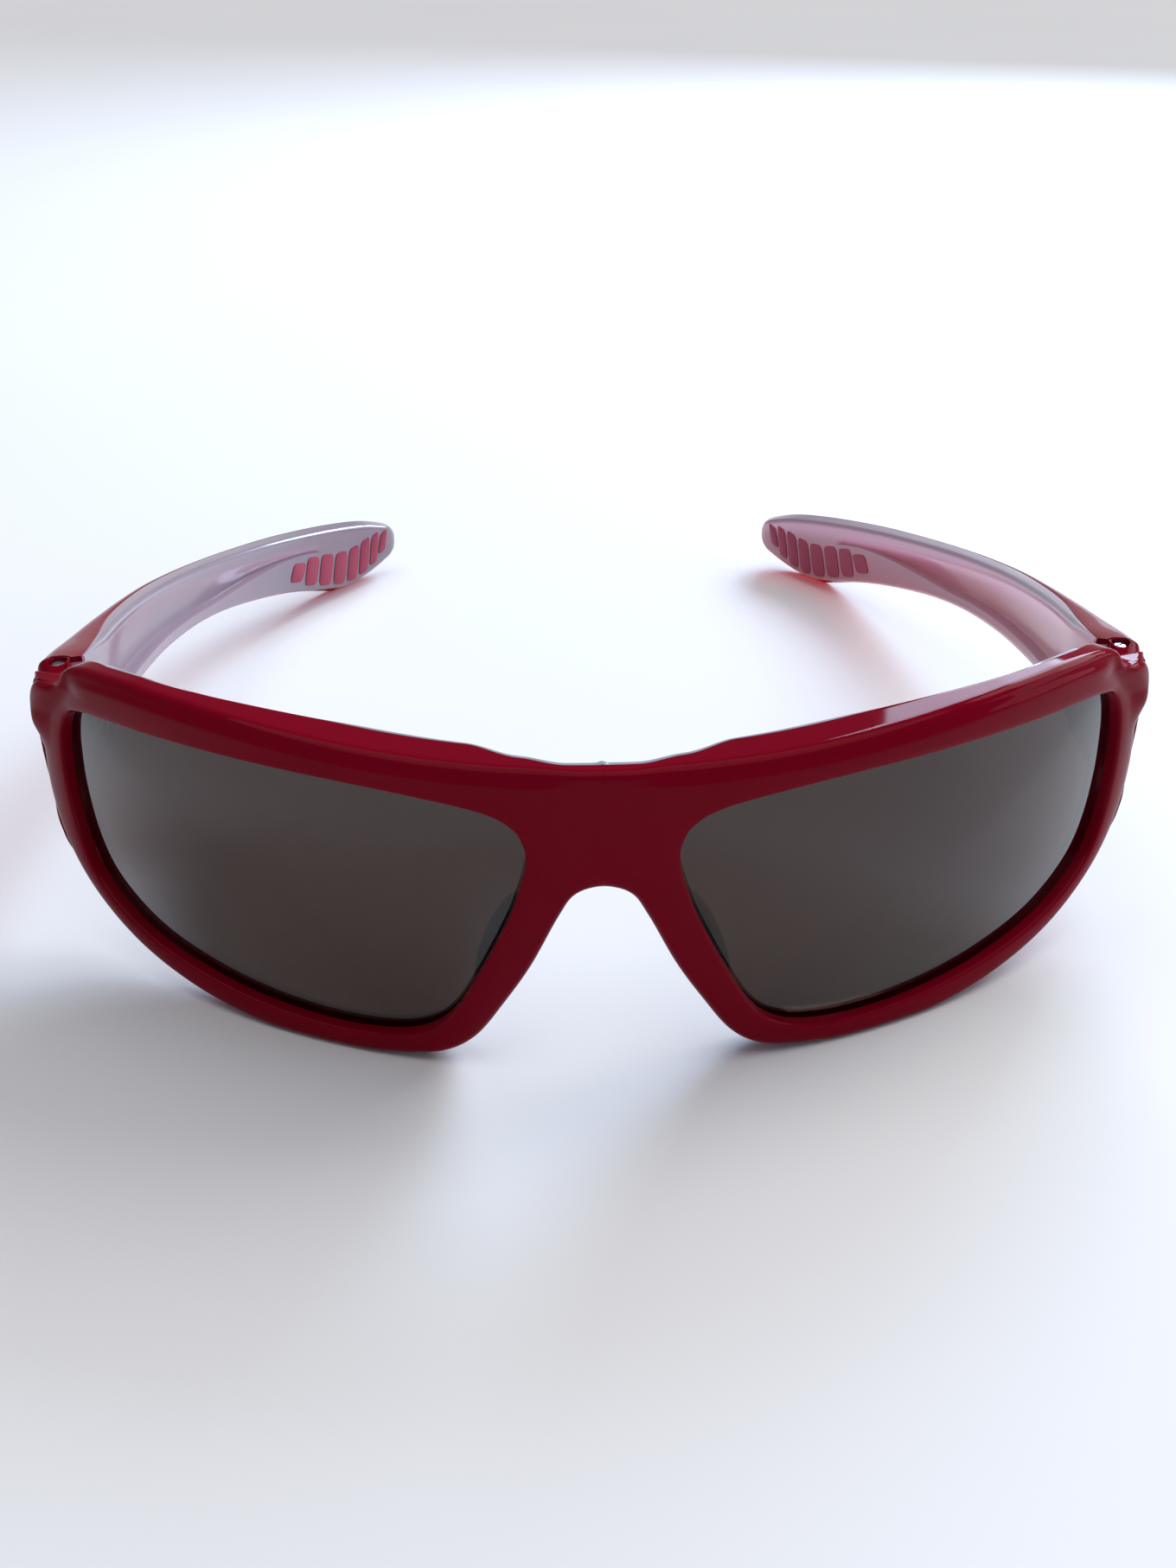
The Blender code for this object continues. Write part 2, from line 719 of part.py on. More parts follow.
def badge_mesh(side, name, margin, floor, proud):
    """An oval plate let into the temple's outer face, or its pocket when grown by a margin."""
    x_face = 70.0
    bm = bmesh.new()
    turns = 24
    rings = []
    for inset, share in ((floor, 1.0), (-proud * 0.5, 1.0), (-proud, 0.86)):
        rings.append([
            bm.verts.new(place(side * (x_face - inset),
                               BADGE_Y + (BADGE_LONG * share + margin) * math.cos(2 * math.pi * k / turns),
                               BADGE_Z + (BADGE_HIGH * share + margin) * math.sin(2 * math.pi * k / turns)))
            for k in range(turns)
        ])
    for ring, after in zip(rings, rings[1:]):
        join_rings(bm, ring, after)
    bm.faces.new(rings[0])
    bm.faces.new(rings[-1])
    return mesh_from(bm, name)


def fold_wedge(side):
    """Plan of the corner that has to go so that the temple can fold past the endpiece."""
    reach = 9.0
    corners = [(PIN_X, PIN_Y)]
    for degrees in (FOLD_CLEARANCE, 66.0, 95.0):
        angle = math.radians(degrees)
        corners.append((PIN_X - reach * math.sin(angle), PIN_Y + reach * math.cos(angle)))
    return flipped(corners, side)


# ---- assembly ----------------------------------------------------------------------------------
def build():
    clear_scene()
    parts = make_collection("sport_sunglasses")
    cutters = make_collection("cutters")
    red = make_material("frame_red", (0.16, 0.003, 0.012), 0.12)
    milky = make_material("milky_plastic", (0.66, 0.62, 0.70), 0.3)
    tint = make_material("lens_tint", (0.05, 0.04, 0.035), 0.05, alpha=0.85)
    rubber = make_material("pad_rubber", (0.42, 0.04, 0.09), 0.6)
    steel = make_material("hinge_steel", (0.62, 0.62, 0.64), 0.25, 1.0)
    chrome = make_material("badge_metal", (0.75, 0.75, 0.77), 0.12, 1.0)

    front = mirrored(make_object("front_frame", front_half(red_rings(), "front_frame"), parts, red))
    mirrored(make_object("front_backing", front_half(backing_rings(), "front_backing"), parts, milky))

    for side, word in ((1, "left"), (-1, "right")):
        build_front_side(side, word, front, parts, cutters, tint, rubber, steel)
        build_temple(side, word, parts, cutters, red, milky, rubber, steel, chrome)


def build_front_side(side, word, front, parts, cutters, tint, rubber, steel):
    make_object("lens_" + word, lens_mesh(side, "lens_" + word), parts, tint)
    make_object("nose_pad_" + word, nose_pad_mesh(side, "nose_pad_" + word), parts, rubber)
    front_leaf(side, word, parts, cutters, steel)
    make_object("hinge_screw_" + word, screw_mesh(side, "hinge_screw_" + word), parts, steel)
    slot_end = Vector(ANCHOR_END) + (Vector(ANCHOR_END) - Vector(ANCHOR_START)).normalized() * GAP
    solids = [
        cylinder_mesh(side * PIN_X, PIN_Y, HINGE_LOW - 0.8, 60.0, KNUCKLE_RADIUS + GAP, "barrel_room_" + word),
        prism_mesh(flipped(plank(ANCHOR_START, slot_end, LEAF_THICK / 2 + GAP), side),
                   HINGE_LOW - GAP, HINGE_HIGH - 0.9 + GAP, "anchor_slot_" + word),
    ]
    cut(front, *[make_object(mesh.name, mesh, cutters) for mesh in solids])


def build_temple(side, word, parts, cutters, red, milky, rubber, steel, chrome):
    pivot = bpy.data.objects.new("temple_pivot_" + word, None)
    parts.objects.link(pivot)
    pivot.location = place(side * PIN_X, PIN_Y, 0.0)
    bpy.context.view_layer.update()

    last = len(TEMPLE) - 1
    stations = [0.0, 0.25, 0.6] + temple_positions(1.0, last)
    shell = make_object("temple_shell_" + word,
                        lofted(shell_ring, stations, side, "temple_shell_" + word), parts, red, pivot)
    liner = make_object("temple_liner_" + word,
                        lofted(liner_ring, stations, side, "temple_liner_" + word), parts, milky, pivot)
    make_object("tip_pad_" + word, pad_mesh(side, "tip_pad_" + word), parts, rubber, pivot)
    make_object("temple_badge_" + word,
                badge_mesh(side, "temple_badge_" + word, 0.0, 0.35, 0.55), parts, chrome, pivot)
    temple_leaf(side, word, parts, cutters, steel, pivot)

    barrel = cylinder_mesh(side * PIN_X, PIN_Y, HINGE_LOW - 0.8, 60.0, KNUCKLE_RADIUS + GAP,
                           "knuckle_room_" + word)
    wedge = prism_mesh(fold_wedge(side), 0.0, 60.0, "fold_room_" + word)
    badge_room = badge_mesh(side, "badge_room_" + word, GAP, 0.65, 3.0)
    pocket = pocket_mesh(side, "pad_pocket_" + word)
    low, high = knuckle_levels()
    leaf_room = prism_mesh(flipped(LEAF_ROOM, side), low - 1.4, high + 0.8, "leaf_room_" + word)
    barrel, wedge, badge_room, pocket, leaf_room = [
        make_object(mesh.name, mesh, cutters) for mesh in (barrel, wedge, badge_room, pocket, leaf_room)
    ]
    cut(shell, barrel, wedge, badge_room)
    cut(liner, barrel, wedge, pocket, leaf_room)


build()
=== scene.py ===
"""Looks of the wraparound sport sunglasses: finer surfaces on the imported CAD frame, materials,
studio and camera. Lengths are millimetres in the design frame, whose Y starts at the bridge's face,
until place() turns them into metres in the row frame."""

import json
import math

import bmesh
import bpy
import numpy as np
from mathutils import Matrix, Vector


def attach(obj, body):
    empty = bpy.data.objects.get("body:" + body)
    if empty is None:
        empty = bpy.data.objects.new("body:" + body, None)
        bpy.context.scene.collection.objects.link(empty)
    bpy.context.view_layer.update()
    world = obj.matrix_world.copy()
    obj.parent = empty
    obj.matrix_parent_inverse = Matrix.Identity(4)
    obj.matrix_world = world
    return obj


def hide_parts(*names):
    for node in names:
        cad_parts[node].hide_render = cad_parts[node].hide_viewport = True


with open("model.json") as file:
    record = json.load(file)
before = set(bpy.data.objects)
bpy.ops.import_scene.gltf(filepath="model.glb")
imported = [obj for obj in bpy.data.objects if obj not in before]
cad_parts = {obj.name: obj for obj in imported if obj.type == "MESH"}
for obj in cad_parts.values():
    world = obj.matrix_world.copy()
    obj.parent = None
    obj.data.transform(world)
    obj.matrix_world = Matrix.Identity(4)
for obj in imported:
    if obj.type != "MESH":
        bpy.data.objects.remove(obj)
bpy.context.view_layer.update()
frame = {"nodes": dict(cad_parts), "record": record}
record = frame["record"]

# ---- driving dimensions, in millimetres and degrees --------------------------------------------
# Outlines, stations and hinge are close to the CAD part's. The lens seat, the layers, the recess, the
# bars and the rooms round the hinge are set here, for the finer surfaces.
MM = 0.001
MID_DEPTH = 76.49
WRAP_RADIUS = 90.0
SEAM_DEPTH = 34.5
SEAM_GAP = 0.12
SKIN = 0.03                # gap between pieces that lie against each other
EDGE_ROUND = 0.9
CREASE = 1.9               # height of the slanted facet along the brow's front edge
LIP_ROUND = 0.3
CROWN = 0.38               # how far the face stands proud between its edges
LENS_DEPTH, LENS_THICK = 1.4, 2.0
LENS_OVERLAP, GROOVE = 0.8, 0.9
LENS_BULGE = 1.6
LENS_MIDDLE = (37.0, 20.5)
RED_THICK = 3.5
BROW_EXTRA, BROW_TAPER = 2.1, 2.5
BRIDGE_SAVING = 1.3
BACKING_THICK = 1.05
BACKING_EDGE = 0.08        # how far the backing's edge is set in from the red one
BACKING_ROUND = 0.45
BACK_ROUND = 0.3
PIN_X, PIN_Y = 66.4, SEAM_DEPTH
PIN_HEAD_RADIUS = 1.1
BARREL_ROOM = 1.6
HEAD_ROOM = 1.2
HUB_RADIUS = 1.5           # ring round the screw's head, which the temple turns about
COVER_LOW = 36.55          # underside of the cover round the screw's head
HINGE_LOW, HINGE_HIGH = 28.2, 36.4
FOLD_CLEARANCE = 66.0      # angle, from straight back, where the temple's cut-away corner starts
FOLD_ANGLE = 76.0          # how far that corner turns, with some to spare
WEDGE_REACH, WEDGE_LAST = 9.0, 95.0
PATH_FIRST = 87.0          # angle where the corner's path through the front starts
FOLD_REACH = 4.0           # how far the temple's inner front corner is from the pin
LEAF_ROOM = ((64.7, 34.0), (66.5, 34.0), (66.5, 37.0), (66.9, 46.4), (65.0, 46.4), (64.7, 36.4))
RECESS_END, RECESS_DEPTH = 10.1, 1.5
PAD_START, PAD_END = 9.1, 12.85
BADGE_Y, BADGE_Z = 42.0, 27.0
BADGE_LONG, BADGE_HIGH = 4.0, 2.4
PAD_BARS = 8
BAR_POWER = 0.42           # below 1, it makes a bar's outline squarer
TOP_ROUND = 1.1            # rounding along the temple's outer top edge
TOP_LIMIT = 42.25          # the outline swings no higher than this between its points
ABOVE_ALL = 60.0           # past the top of everything, for upright cutters

# The front's outlines as matched pairs: outer x, outer z, opening x, opening z.
RIM = np.array((
    (0.0, 25.4, 8.9, 26.4), (3.0, 24.4, 9.6, 24.0), (5.0, 21.3, 10.6, 21.0), (8.2, 14.6, 12.6, 16.5),
    (11.4, 9.2, 15.0, 11.6), (14.8, 4.2, 17.3, 7.6), (18.4, 1.6, 19.9, 5.0), (23.0, 0.6, 24.0, 3.4),
    (31.0, -0.15, 31.0, 2.8), (40.0, -0.05, 40.0, 3.3), (50.0, 1.7, 49.0, 4.7), (58.5, 4.8, 57.0, 7.0),
    (65.0, 9.6, 62.7, 10.9), (68.3, 15.0, 65.1, 15.6), (69.5, 21.0, 66.0, 22.0),
    (69.3, 27.0, 65.8, 27.8), (69.3, 32.8, 65.0, 32.0), (67.9, 37.0, 63.4, 34.9),
    (64.7, 38.1, 60.6, 36.1), (62.7, 40.9, 57.0, 36.6), (53.5, 42.3, 51.5, 36.9),
    (44.5, 42.1, 44.0, 37.2), (35.5, 41.5, 36.0, 37.2), (27.0, 40.9, 28.0, 36.9),
    (18.5, 40.4, 20.0, 36.1), (10.5, 40.1, 13.3, 34.8), (4.5, 40.0, 10.0, 33.0), (0.0, 40.0, 8.7, 30.7),
))
NOSE_SIDE = (8.5, 28.6)

# A temple's stations: x and y of its outer top edge, top z, outer and inner bottom z, width, bulge.
TEMPLE = np.array((
    (68.6, 34.65, 38.0, 19.6, 20.2, 5.2, 1.5), (68.9, 40.0, 36.8, 21.3, 21.8, 5.2, 1.3),
    (69.1, 48.0, 34.9, 21.8, 22.1, 5.0, 0.9), (69.3, 60.0, 32.2, 20.0, 20.4, 4.3, 0.6),
    (69.1, 72.0, 29.5, 18.1, 18.5, 3.9, 0.4), (68.4, 84.0, 26.8, 16.2, 16.6, 3.8, 0.3),
    (66.7, 96.0, 24.1, 14.2, 14.6, 3.8, 0.3), (64.3, 107.0, 21.6, 11.9, 12.3, 3.9, 0.3),
    (61.1, 118.0, 19.1, 9.0, 9.4, 4.1, 0.3), (57.3, 128.0, 16.9, 5.9, 6.5, 4.3, 0.3),
    (52.9, 136.5, 15.0, 2.6, 3.8, 4.4, 0.3), (47.9, 143.6, 13.4, -0.15, 1.9, 4.4, 0.3),
    (43.2, 148.7, 12.0, 0.5, 3.0, 4.2, 0.3), (39.2, 152.0, 10.3, 2.5, 4.6, 3.4, 0.2),
    (37.2, 153.3, 8.9, 4.6, 5.9, 2.3, 0.1),
))
# Where the red shell ends and the milky liner starts: on the inner side, and along the top.
SHELL_SPLIT = np.array(
    (2.6, 2.6, 2.5, 1.9, 1.5, 1.3, 1.3, 1.3, 1.3, 1.3, 1.3, 1.3, 1.3, 1.2, 0.9))[:, None]
TOP_SPLIT = np.array(
    (4.9, 4.7, 3.8, 2.2, 1.4, 1.05, 0.9, 0.8, 0.8, 0.8, 0.8, 0.8, 0.8, 0.8, 0.6))[:, None]
LIP_THICK = 0.8
TIP_START = 13.4           # station where the tip starts to round off
ENDPIECE_INNER = 64.7
RECESS_SHARES = (0.0, 0.04, 0.09, 0.14, 0.19, 0.24, 0.3, 0.45, 0.6, 0.75,
                 0.89, 0.905, 0.92, 0.935, 0.95, 0.965, 0.98, 1.0)


# ---- small maths -------------------------------------------------------------------------------
def blend(low, high, value):
    t = np.clip((value - low) / (high - low), 0.0, 1.0)
    return t * t * (3.0 - 2.0 * t)


def round_over(distance, radius):
    rest = np.clip(radius - distance, 0.0, radius)
    return radius - np.sqrt(radius**2 - rest**2)


def catmull(rows, positions, closed=False):
    """Smooth curve through rows of numbers, at positions counted in rows."""
    rows, positions = np.asarray(rows, float), np.asarray(positions, float)
    last = len(rows) - 1
    index = np.floor(positions).astype(int)
    index = index if closed else np.clip(index, 0, last - 1)
    t = (positions - index)[:, None]
    ends = [index - 1, index, index + 1, index + 2]
    a, b, c, d = [rows[k % len(rows)] if closed else rows[np.clip(k, 0, last)] for k in ends]
    cubic = (3 * b - a - 3 * c + d) * t**3 + (2 * a - 5 * b + 4 * c - d) * t**2
    return 0.5 * (2 * b + (c - a) * t + cubic)


def unroll(x):
    return WRAP_RADIUS * np.arcsin(np.asarray(x) / WRAP_RADIUS)


def place(x, y, z):
    x, y, z = np.broadcast_arrays(x, y, z)
    return np.stack([x, y - MID_DEPTH, z], -1) * MM


def wrapped(u, z, depth, side=1):
    """A place on the front: u mm round the wrap, z up, depth behind the face."""
    angle = np.asarray(u) / WRAP_RADIUS
    radius = WRAP_RADIUS - depth
    return place(side * radius * np.sin(angle), WRAP_RADIUS - radius * np.cos(angle), z)


# ---- mesh helpers ------------------------------------------------------------------------------
def grid_faces(rows, columns, close_rows=False):
    """Quads between neighbouring rows of a grid of vertices, whose rows are closed loops."""
    r = np.arange(rows if close_rows else rows - 1)
    r, c = np.meshgrid(r, np.arange(columns), indexing="ij")
    r2, c2 = (r + 1) % rows, (c + 1) % columns
    corners = (r * columns + c, r * columns + c2, r2 * columns + c2, r2 * columns + c)
    return np.stack([corner.ravel() for corner in corners], 1)


def new_object(name, verts, faces, mirror=False, sharp=40.0):
    """Mesh object from vertices and faces, welded, facing out and smoothly shaded."""
    mesh = bpy.data.meshes.new(name)
    mesh.from_pydata(np.asarray(verts, float).reshape(-1, 3).tolist(), [],
                     [list(map(int, face)) for face in faces])
    bm = bmesh.new()
    bm.from_mesh(mesh)
    if mirror:
        half = bmesh.ops.duplicate(bm, geom=bm.verts[:] + bm.edges[:] + bm.faces[:])["geom"]
        other = [item for item in half if isinstance(item, bmesh.types.BMVert)]
        bmesh.ops.scale(bm, vec=(-1, 1, 1), verts=other)
    bmesh.ops.remove_doubles(bm, verts=bm.verts, dist=1e-6)
    bmesh.ops.dissolve_degenerate(bm, edges=bm.edges, dist=1e-7)
    bmesh.ops.recalc_face_normals(bm, faces=bm.faces)
    bm.to_mesh(mesh)
    bm.free()
    mesh.shade_smooth()
    mesh.set_sharp_from_angle(angle=math.radians(sharp))
    item = bpy.data.objects.new(name, mesh)
    bpy.context.scene.collection.objects.link(item)
    return item


def loft(name, rings, sharp=40.0):
    """Closed tube through rings of points, an array of rings x points x 3, with flat ends."""
    rings = np.asarray(rings)
    count, points = rings.shape[:2]
    faces = grid_faces(count, points).tolist()
    faces.append(list(range(points)))
    faces.append([(count - 1) * points + k for k in reversed(range(points))])
    return new_object(name, rings.reshape(-1, 3), faces, sharp=sharp)


def carve(target, *cutters, added=(), sharp=40.0):
    """Joins the added pieces to target, cuts the cutters out of it, and removes them all."""
    for cutter in (*added, *cutters):
        boolean = target.modifiers.new("cut", "BOOLEAN")
        boolean.operation = "UNION" if cutter in added else "DIFFERENCE"
        boolean.solver = "EXACT"
        boolean.object = cutter
    bpy.context.view_layer.update()
    evaluated = target.evaluated_get(bpy.context.evaluated_depsgraph_get())
    mesh = bpy.data.meshes.new_from_object(evaluated)
    target.modifiers.clear()
    target.data = mesh
    mesh.shade_smooth()
    mesh.set_sharp_from_angle(angle=math.radians(sharp))
    for cutter in (*added, *cutters):
        bpy.data.objects.remove(cutter)
    return target


def prism(name, plan, low, high):
    """Upright solid over a plan of corners, between two heights."""
    plan = np.asarray(plan, float)
    rings = [place(plan[:, 0], plan[:, 1], z) for z in (low, high)]
    return loft(name, rings)


def turned(name, x, y, profile):
    """Solid of revolution about an upright axis, from radius and height pairs."""
    angle = np.linspace(0, 2 * math.pi, 48, endpoint=False)
    rings = [place(x + radius * np.cos(angle), y + radius * np.sin(angle), z) for radius, z in profile]
    return loft(name, rings)


def flipped(plan, side):
    return [(side * x, y) for x, y in plan]


def show(item, material, body, slot, *nodes):
    """Finishes a piece: its material, the body it rides on and the CAD nodes it stands for."""
    item.data.materials.clear()
    item.data.materials.append(material)
    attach(item, body)
    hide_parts(*nodes)


# ---- outlines of the front ---------------------------------------------------------------------
LAST = len(RIM) - 1
OUTER = np.stack([unroll(RIM[:, 0]), RIM[:, 1]], 1)
OPENING = np.vstack([np.stack([unroll(RIM[:, 2]), RIM[:, 3]], 1), [unroll(NOSE_SIDE[0]), NOSE_SIDE[1]]])
SPLITS = 12
RIM_PLACES = np.arange(LAST * SPLITS + 1) / SPLITS
BRIDGE_PLACES = LAST + np.array((0.03, 0.1, 0.25, 0.45, 0.7, 1.0, 1.3, 1.55, 1.75, 1.9, 1.97))
PLACES = np.concatenate([RIM_PLACES, BRIDGE_PLACES])


def outer_at(places):
    """The front's outer outline; past the bridge it comes straight down the mirror plane."""
    padded = np.vstack([OUTER[1] * (-1, 1), OUTER, OUTER[-2] * (-1, 1)])
    curve = catmull(padded, np.minimum(places, LAST) + 1)
    curve = np.clip(curve, 0.0, (np.inf, TOP_LIMIT))
    share = np.clip((places - LAST) / 2.0, 0.0, 1.0)
    seam_z = OUTER[-1, 1] + (OUTER[0, 1] - OUTER[-1, 1]) * share
    on_seam = places >= LAST
    curve[on_seam] = np.stack([np.zeros(on_seam.sum()), seam_z[on_seam]], 1)
    curve[0, 0] = 0.0
    return curve


RIM_OUTER = outer_at(PLACES)
RIM_OPENING = catmull(OPENING, PLACES, closed=True)
OUTLINE = outer_at(np.arange(LAST * 14 + 1) / 14.0)


def edge_distance(u, z):
    """Distance to the front's outer outline, measured round the wrap."""
    points = np.stack([np.ravel(u), np.ravel(z)], 1)[:, None, :]
    start, run = OUTLINE[None, :-1], np.diff(OUTLINE, axis=0)[None]
    share = np.sum((points - start) * run, -1) / np.maximum(np.sum(run * run, -1), 1e-9)
    nearest = start + run * np.clip(share, 0, 1)[..., None]
    return np.sqrt(np.min(np.sum((points - nearest) ** 2, -1), 1)).reshape(np.shape(u))


def grown_opening(offset):
    """The lens opening's outline, grown by an offset."""
    run = np.roll(RIM_OPENING, -1, 0) - np.roll(RIM_OPENING, 1, 0)
    run /= np.linalg.norm(run, axis=1)[:, None]
    return RIM_OPENING + offset * np.stack([run[:, 1], -run[:, 0]], 1)


def endpiece_relief(u, z):
    """The endpiece stands proud of the wrap as a drop, with a valley between it and the brow."""
    valley_u = 75.0 - 1.04 * np.clip(z - 33.0, 0, 5) + 0.27 * np.clip(33.0 - z, 0, 6)
    swell = 0.95 * blend(valley_u - 0.5, valley_u + 3.5, u) * blend(26.5, 31.5, z)
    valley = 0.45 * np.exp(-(((u - valley_u) / 2.6) ** 2)) * blend(30.5, 36.0, z)
    return valley - swell


def face_depth(u, z, from_opening):
    """Depth of the red face: crowned, rounded at its edges, with a slanted facet along the brow."""
    rim = edge_distance(u, z)
    share = from_opening / np.maximum(from_opening + rim, 1e-6)
    crown = CROWN * np.sqrt(np.clip(4 * share * (1 - share), 0, 1))
    rounds = round_over(rim, EDGE_ROUND) + round_over(from_opening, LIP_ROUND)
    brow = blend(36.5, 39.0, z) * blend(2.0, 8.0, u) * (1.0 - blend(66.0, 70.0, u))
    facet = 0.7 * brow * (1.0 - blend(0.6, 1.0, rim / CREASE)) * np.clip(1.0 - rim / CREASE, 0, 1) ** 0.5
    return endpiece_relief(u, z) - crown + rounds + facet


def seam_limit(u):
    """Depth at which the front stops, at the plane of the seam."""
    return WRAP_RADIUS - (WRAP_RADIUS - SEAM_DEPTH + SEAM_GAP) / np.cos(u / WRAP_RADIUS)


def red_depth(u, z):
    """Depth of the red layer's back, thicker along the brow and thinner at the bridge."""
    brow = BROW_EXTRA * blend(9.0, 16.0, u) - BROW_TAPER * blend(29.0, 58.0, u)
    depth = RED_THICK + brow * blend(37.5, 40.3, z) * (1.0 - blend(64.0, 68.0, u))
    depth = depth - BRIDGE_SAVING * (1.0 - blend(4.0, 9.5, u)) * blend(30.0, 37.0, z)
    return np.minimum(depth, seam_limit(u))


def back_depth(u, z):
    return red_depth(u, z) - round_over(edge_distance(u, z), BACK_ROUND)


# ---- the front ---------------------------------------------------------------------------------
def front_half(name, rings):
    """The whole front from the rings of its left half, leaving out faces on the mirror plane."""
    rings = np.asarray(rings)
    faces = grid_faces(len(rings), len(PLACES), close_rows=True)
    flat = rings.reshape(-1, 3)
    on_plane = np.abs(flat[faces][:, :, 0]) < 1e-7
    return new_object(name, flat, faces[~on_plane.all(1)], mirror=True)


def bulge_at(bulge, share):
    """How far a temple's outer face swells at a share of its height."""
    return bulge * np.sin(math.pi * np.clip(0.1 + 0.9 * share, 0, 1)) ** 0.8


def temple_end_x(z):
    """Outer side of the temple's front end at a height, which the front meets flush."""
    bottom, top, bulge = TEMPLE[0, 3], TEMPLE[0, 2], TEMPLE[0, 6]
    share = np.clip((z - bottom) / (top - bottom), 0, 1)
    return TEMPLE[0, 0] - round_over(np.clip(top - z, 0, TOP_ROUND), TOP_ROUND) + bulge_at(bulge, share)


def side_wall(points, depth, share):
    """Wall behind the front's outline: at the endpiece it runs back to the temple's outer side."""
    u, z = points.T
    at = wrapped(u, z, depth)
    straight = blend(72.0, 77.0, u) * share**2
    reach = np.clip((depth + 1.0) / 4.0, 0, 1) * blend(15.0, 21.0, z)
    out = WRAP_RADIUS * np.sin(u / WRAP_RADIUS) + 0.6 * (1 - reach)
    out = out + (temple_end_x(z) - out) * reach
    at[:, 0] += (np.maximum(out, at[:, 0] / MM) * MM - at[:, 0]) * straight
    return at


def make_endpiece(side):
    """Block behind the endpiece's face that closes the gap to the temple's front end."""
    rings = []
    top = TEMPLE[0, 2]
    rounded = np.sin(np.linspace(0, math.pi / 2, 9))[1:]
    for y, drop, shrink in ((30.9, 1.2, 1.7), (31.8, 0.85, 1.1), (32.9, 0.5, 0.5), (33.8, 0.22, 0.15),
                            (SEAM_DEPTH - SEAM_GAP, 0.0, 0.03)):
        z = np.concatenate([np.linspace(33.5, top - TOP_ROUND, 8), top - TOP_ROUND + TOP_ROUND * rounded])
        outer = temple_end_x(z) - shrink - 1.2 * (1 - blend(33.4, 35.5, z))
        inner = ((ENDPIECE_INNER + 0.3, top), (ENDPIECE_INNER + 0.08, top - 0.08), (ENDPIECE_INNER, top - 0.3),
                 (ENDPIECE_INNER, 35.2), (66.0, 33.5))
        x = np.concatenate([outer, [corner[0] for corner in inner]])
        z = np.concatenate([z, [corner[1] for corner in inner]])
        rings.append(place(side * x, y, z - drop * blend(33.0, top - 0.5, z)))
    return loft("endpiece", rings)


def make_front_frame():
    """Red moulding: rings from the lens opening over the face, round the rim and back to the groove."""
    length = np.linalg.norm(RIM_OUTER - RIM_OPENING, axis=1)
    near = np.array((0.0, 0.04, 0.1, 0.18, 0.28, 0.42))
    far = np.array((1.3, 1.0, 0.75, 0.55, 0.38, 0.24, 0.13, 0.05, 0.0))
    steps = [np.full_like(length, offset) for offset in near]
    room = length - far[0] - near[-1]
    steps += [near[-1] + room * share for share in np.linspace(0, 1, 14)[1:-1]]
    steps += [length - offset for offset in far]
    rings = []
    for step in steps:
        point = RIM_OPENING + (RIM_OUTER - RIM_OPENING) * (step / length)[:, None]
        rings.append(wrapped(point[:, 0], point[:, 1], face_depth(point[:, 0], point[:, 1], step)))
    groove = grown_opening(GROOVE)
    face = face_depth(*RIM_OUTER.T, length)
    back = back_depth(*RIM_OUTER.T)
    for share in (0.12, 0.3, 0.5, 0.7, 0.88):
        rings.append(side_wall(RIM_OUTER, face + (back - face) * share, 1.0))
    round_steps = BACK_ROUND * (1 - np.cos(np.linspace(0, math.pi / 2, 6))) / length.min()
    for share in np.concatenate([round_steps, np.linspace(round_steps[-1], 1, 12)[1:]]):
        point = RIM_OUTER + (groove - RIM_OUTER) * share
        rings.append(side_wall(point, back_depth(*point.T), 1.0 - share))
    for outline in (groove, RIM_OPENING):
        rings.append(wrapped(outline[:, 0], outline[:, 1], LENS_DEPTH - SKIN))
    return front_half("front_frame_fine", rings)


def make_front_backing():
    """Milky layer behind the red one, set in from its edge, and more at the hinges and brow ends."""
    groove = grown_opening(GROOVE)
    hinge = blend(11.5, 14.5, PLACES) * (1.0 - blend(17.5, 19.5, PLACES))
    length = np.linalg.norm(RIM_OUTER - groove, axis=1)
    hidden = blend(18.6, 19.4, PLACES) * (1.0 - blend(21.5, 23.2, PLACES))
    inset = BACKING_EDGE + hinge * (length - 0.98) + 0.6 * hidden + 0.3 * blend(21.5, 23.2, PLACES)
    rim = groove + (RIM_OUTER - groove) * (1.0 - inset / length)[:, None]
    seam = RIM_OUTER[:, 0] == 0.0
    seam_z = np.clip(RIM_OUTER[seam, 1], OUTER[0, 1] + BACKING_EDGE, OUTER[-1, 1] - BACKING_EDGE)
    rim[seam] = np.stack([np.zeros(seam.sum()), seam_z], 1)
    rings = []
    for share in np.linspace(0, 1, 12):
        u, z = (groove + (rim - groove) * share).T
        rings.append(wrapped(u, z, red_depth(u, z) + SKIN))
    span = np.linalg.norm(rim - RIM_OPENING, axis=1)
    for inward in (0.0, 0.03, 0.1, 0.2, 0.32, BACKING_ROUND):
        share = 1.0 - inward / span
        u, z = (RIM_OPENING + (rim - RIM_OPENING) * share[:, None]).T
        on_seam = np.abs(PLACES - LAST - 1) < 0.95
        drop = round_over(np.where(on_seam, BACKING_ROUND, inward), BACKING_ROUND)
        depth = np.minimum(red_depth(u, z) + BACKING_THICK, seam_limit(u)) - drop
        rings.append(wrapped(u, z, np.maximum(depth, red_depth(u, z) + SKIN + 0.01)))
    for share in np.linspace(1, 0, 12)[1:]:
        u, z = (RIM_OPENING + (rim - RIM_OPENING) * (share * (1.0 - BACKING_ROUND / span))[:, None]).T
        depth = np.minimum(red_depth(u, z) + BACKING_THICK, seam_limit(u))
        rings.append(wrapped(u, z, depth))
    u, z = RIM_OPENING.T
    rings.append(wrapped(u, z, red_depth(groove[:, 0], groove[:, 1]) + SKIN))
    return front_half("front_backing_fine", rings)


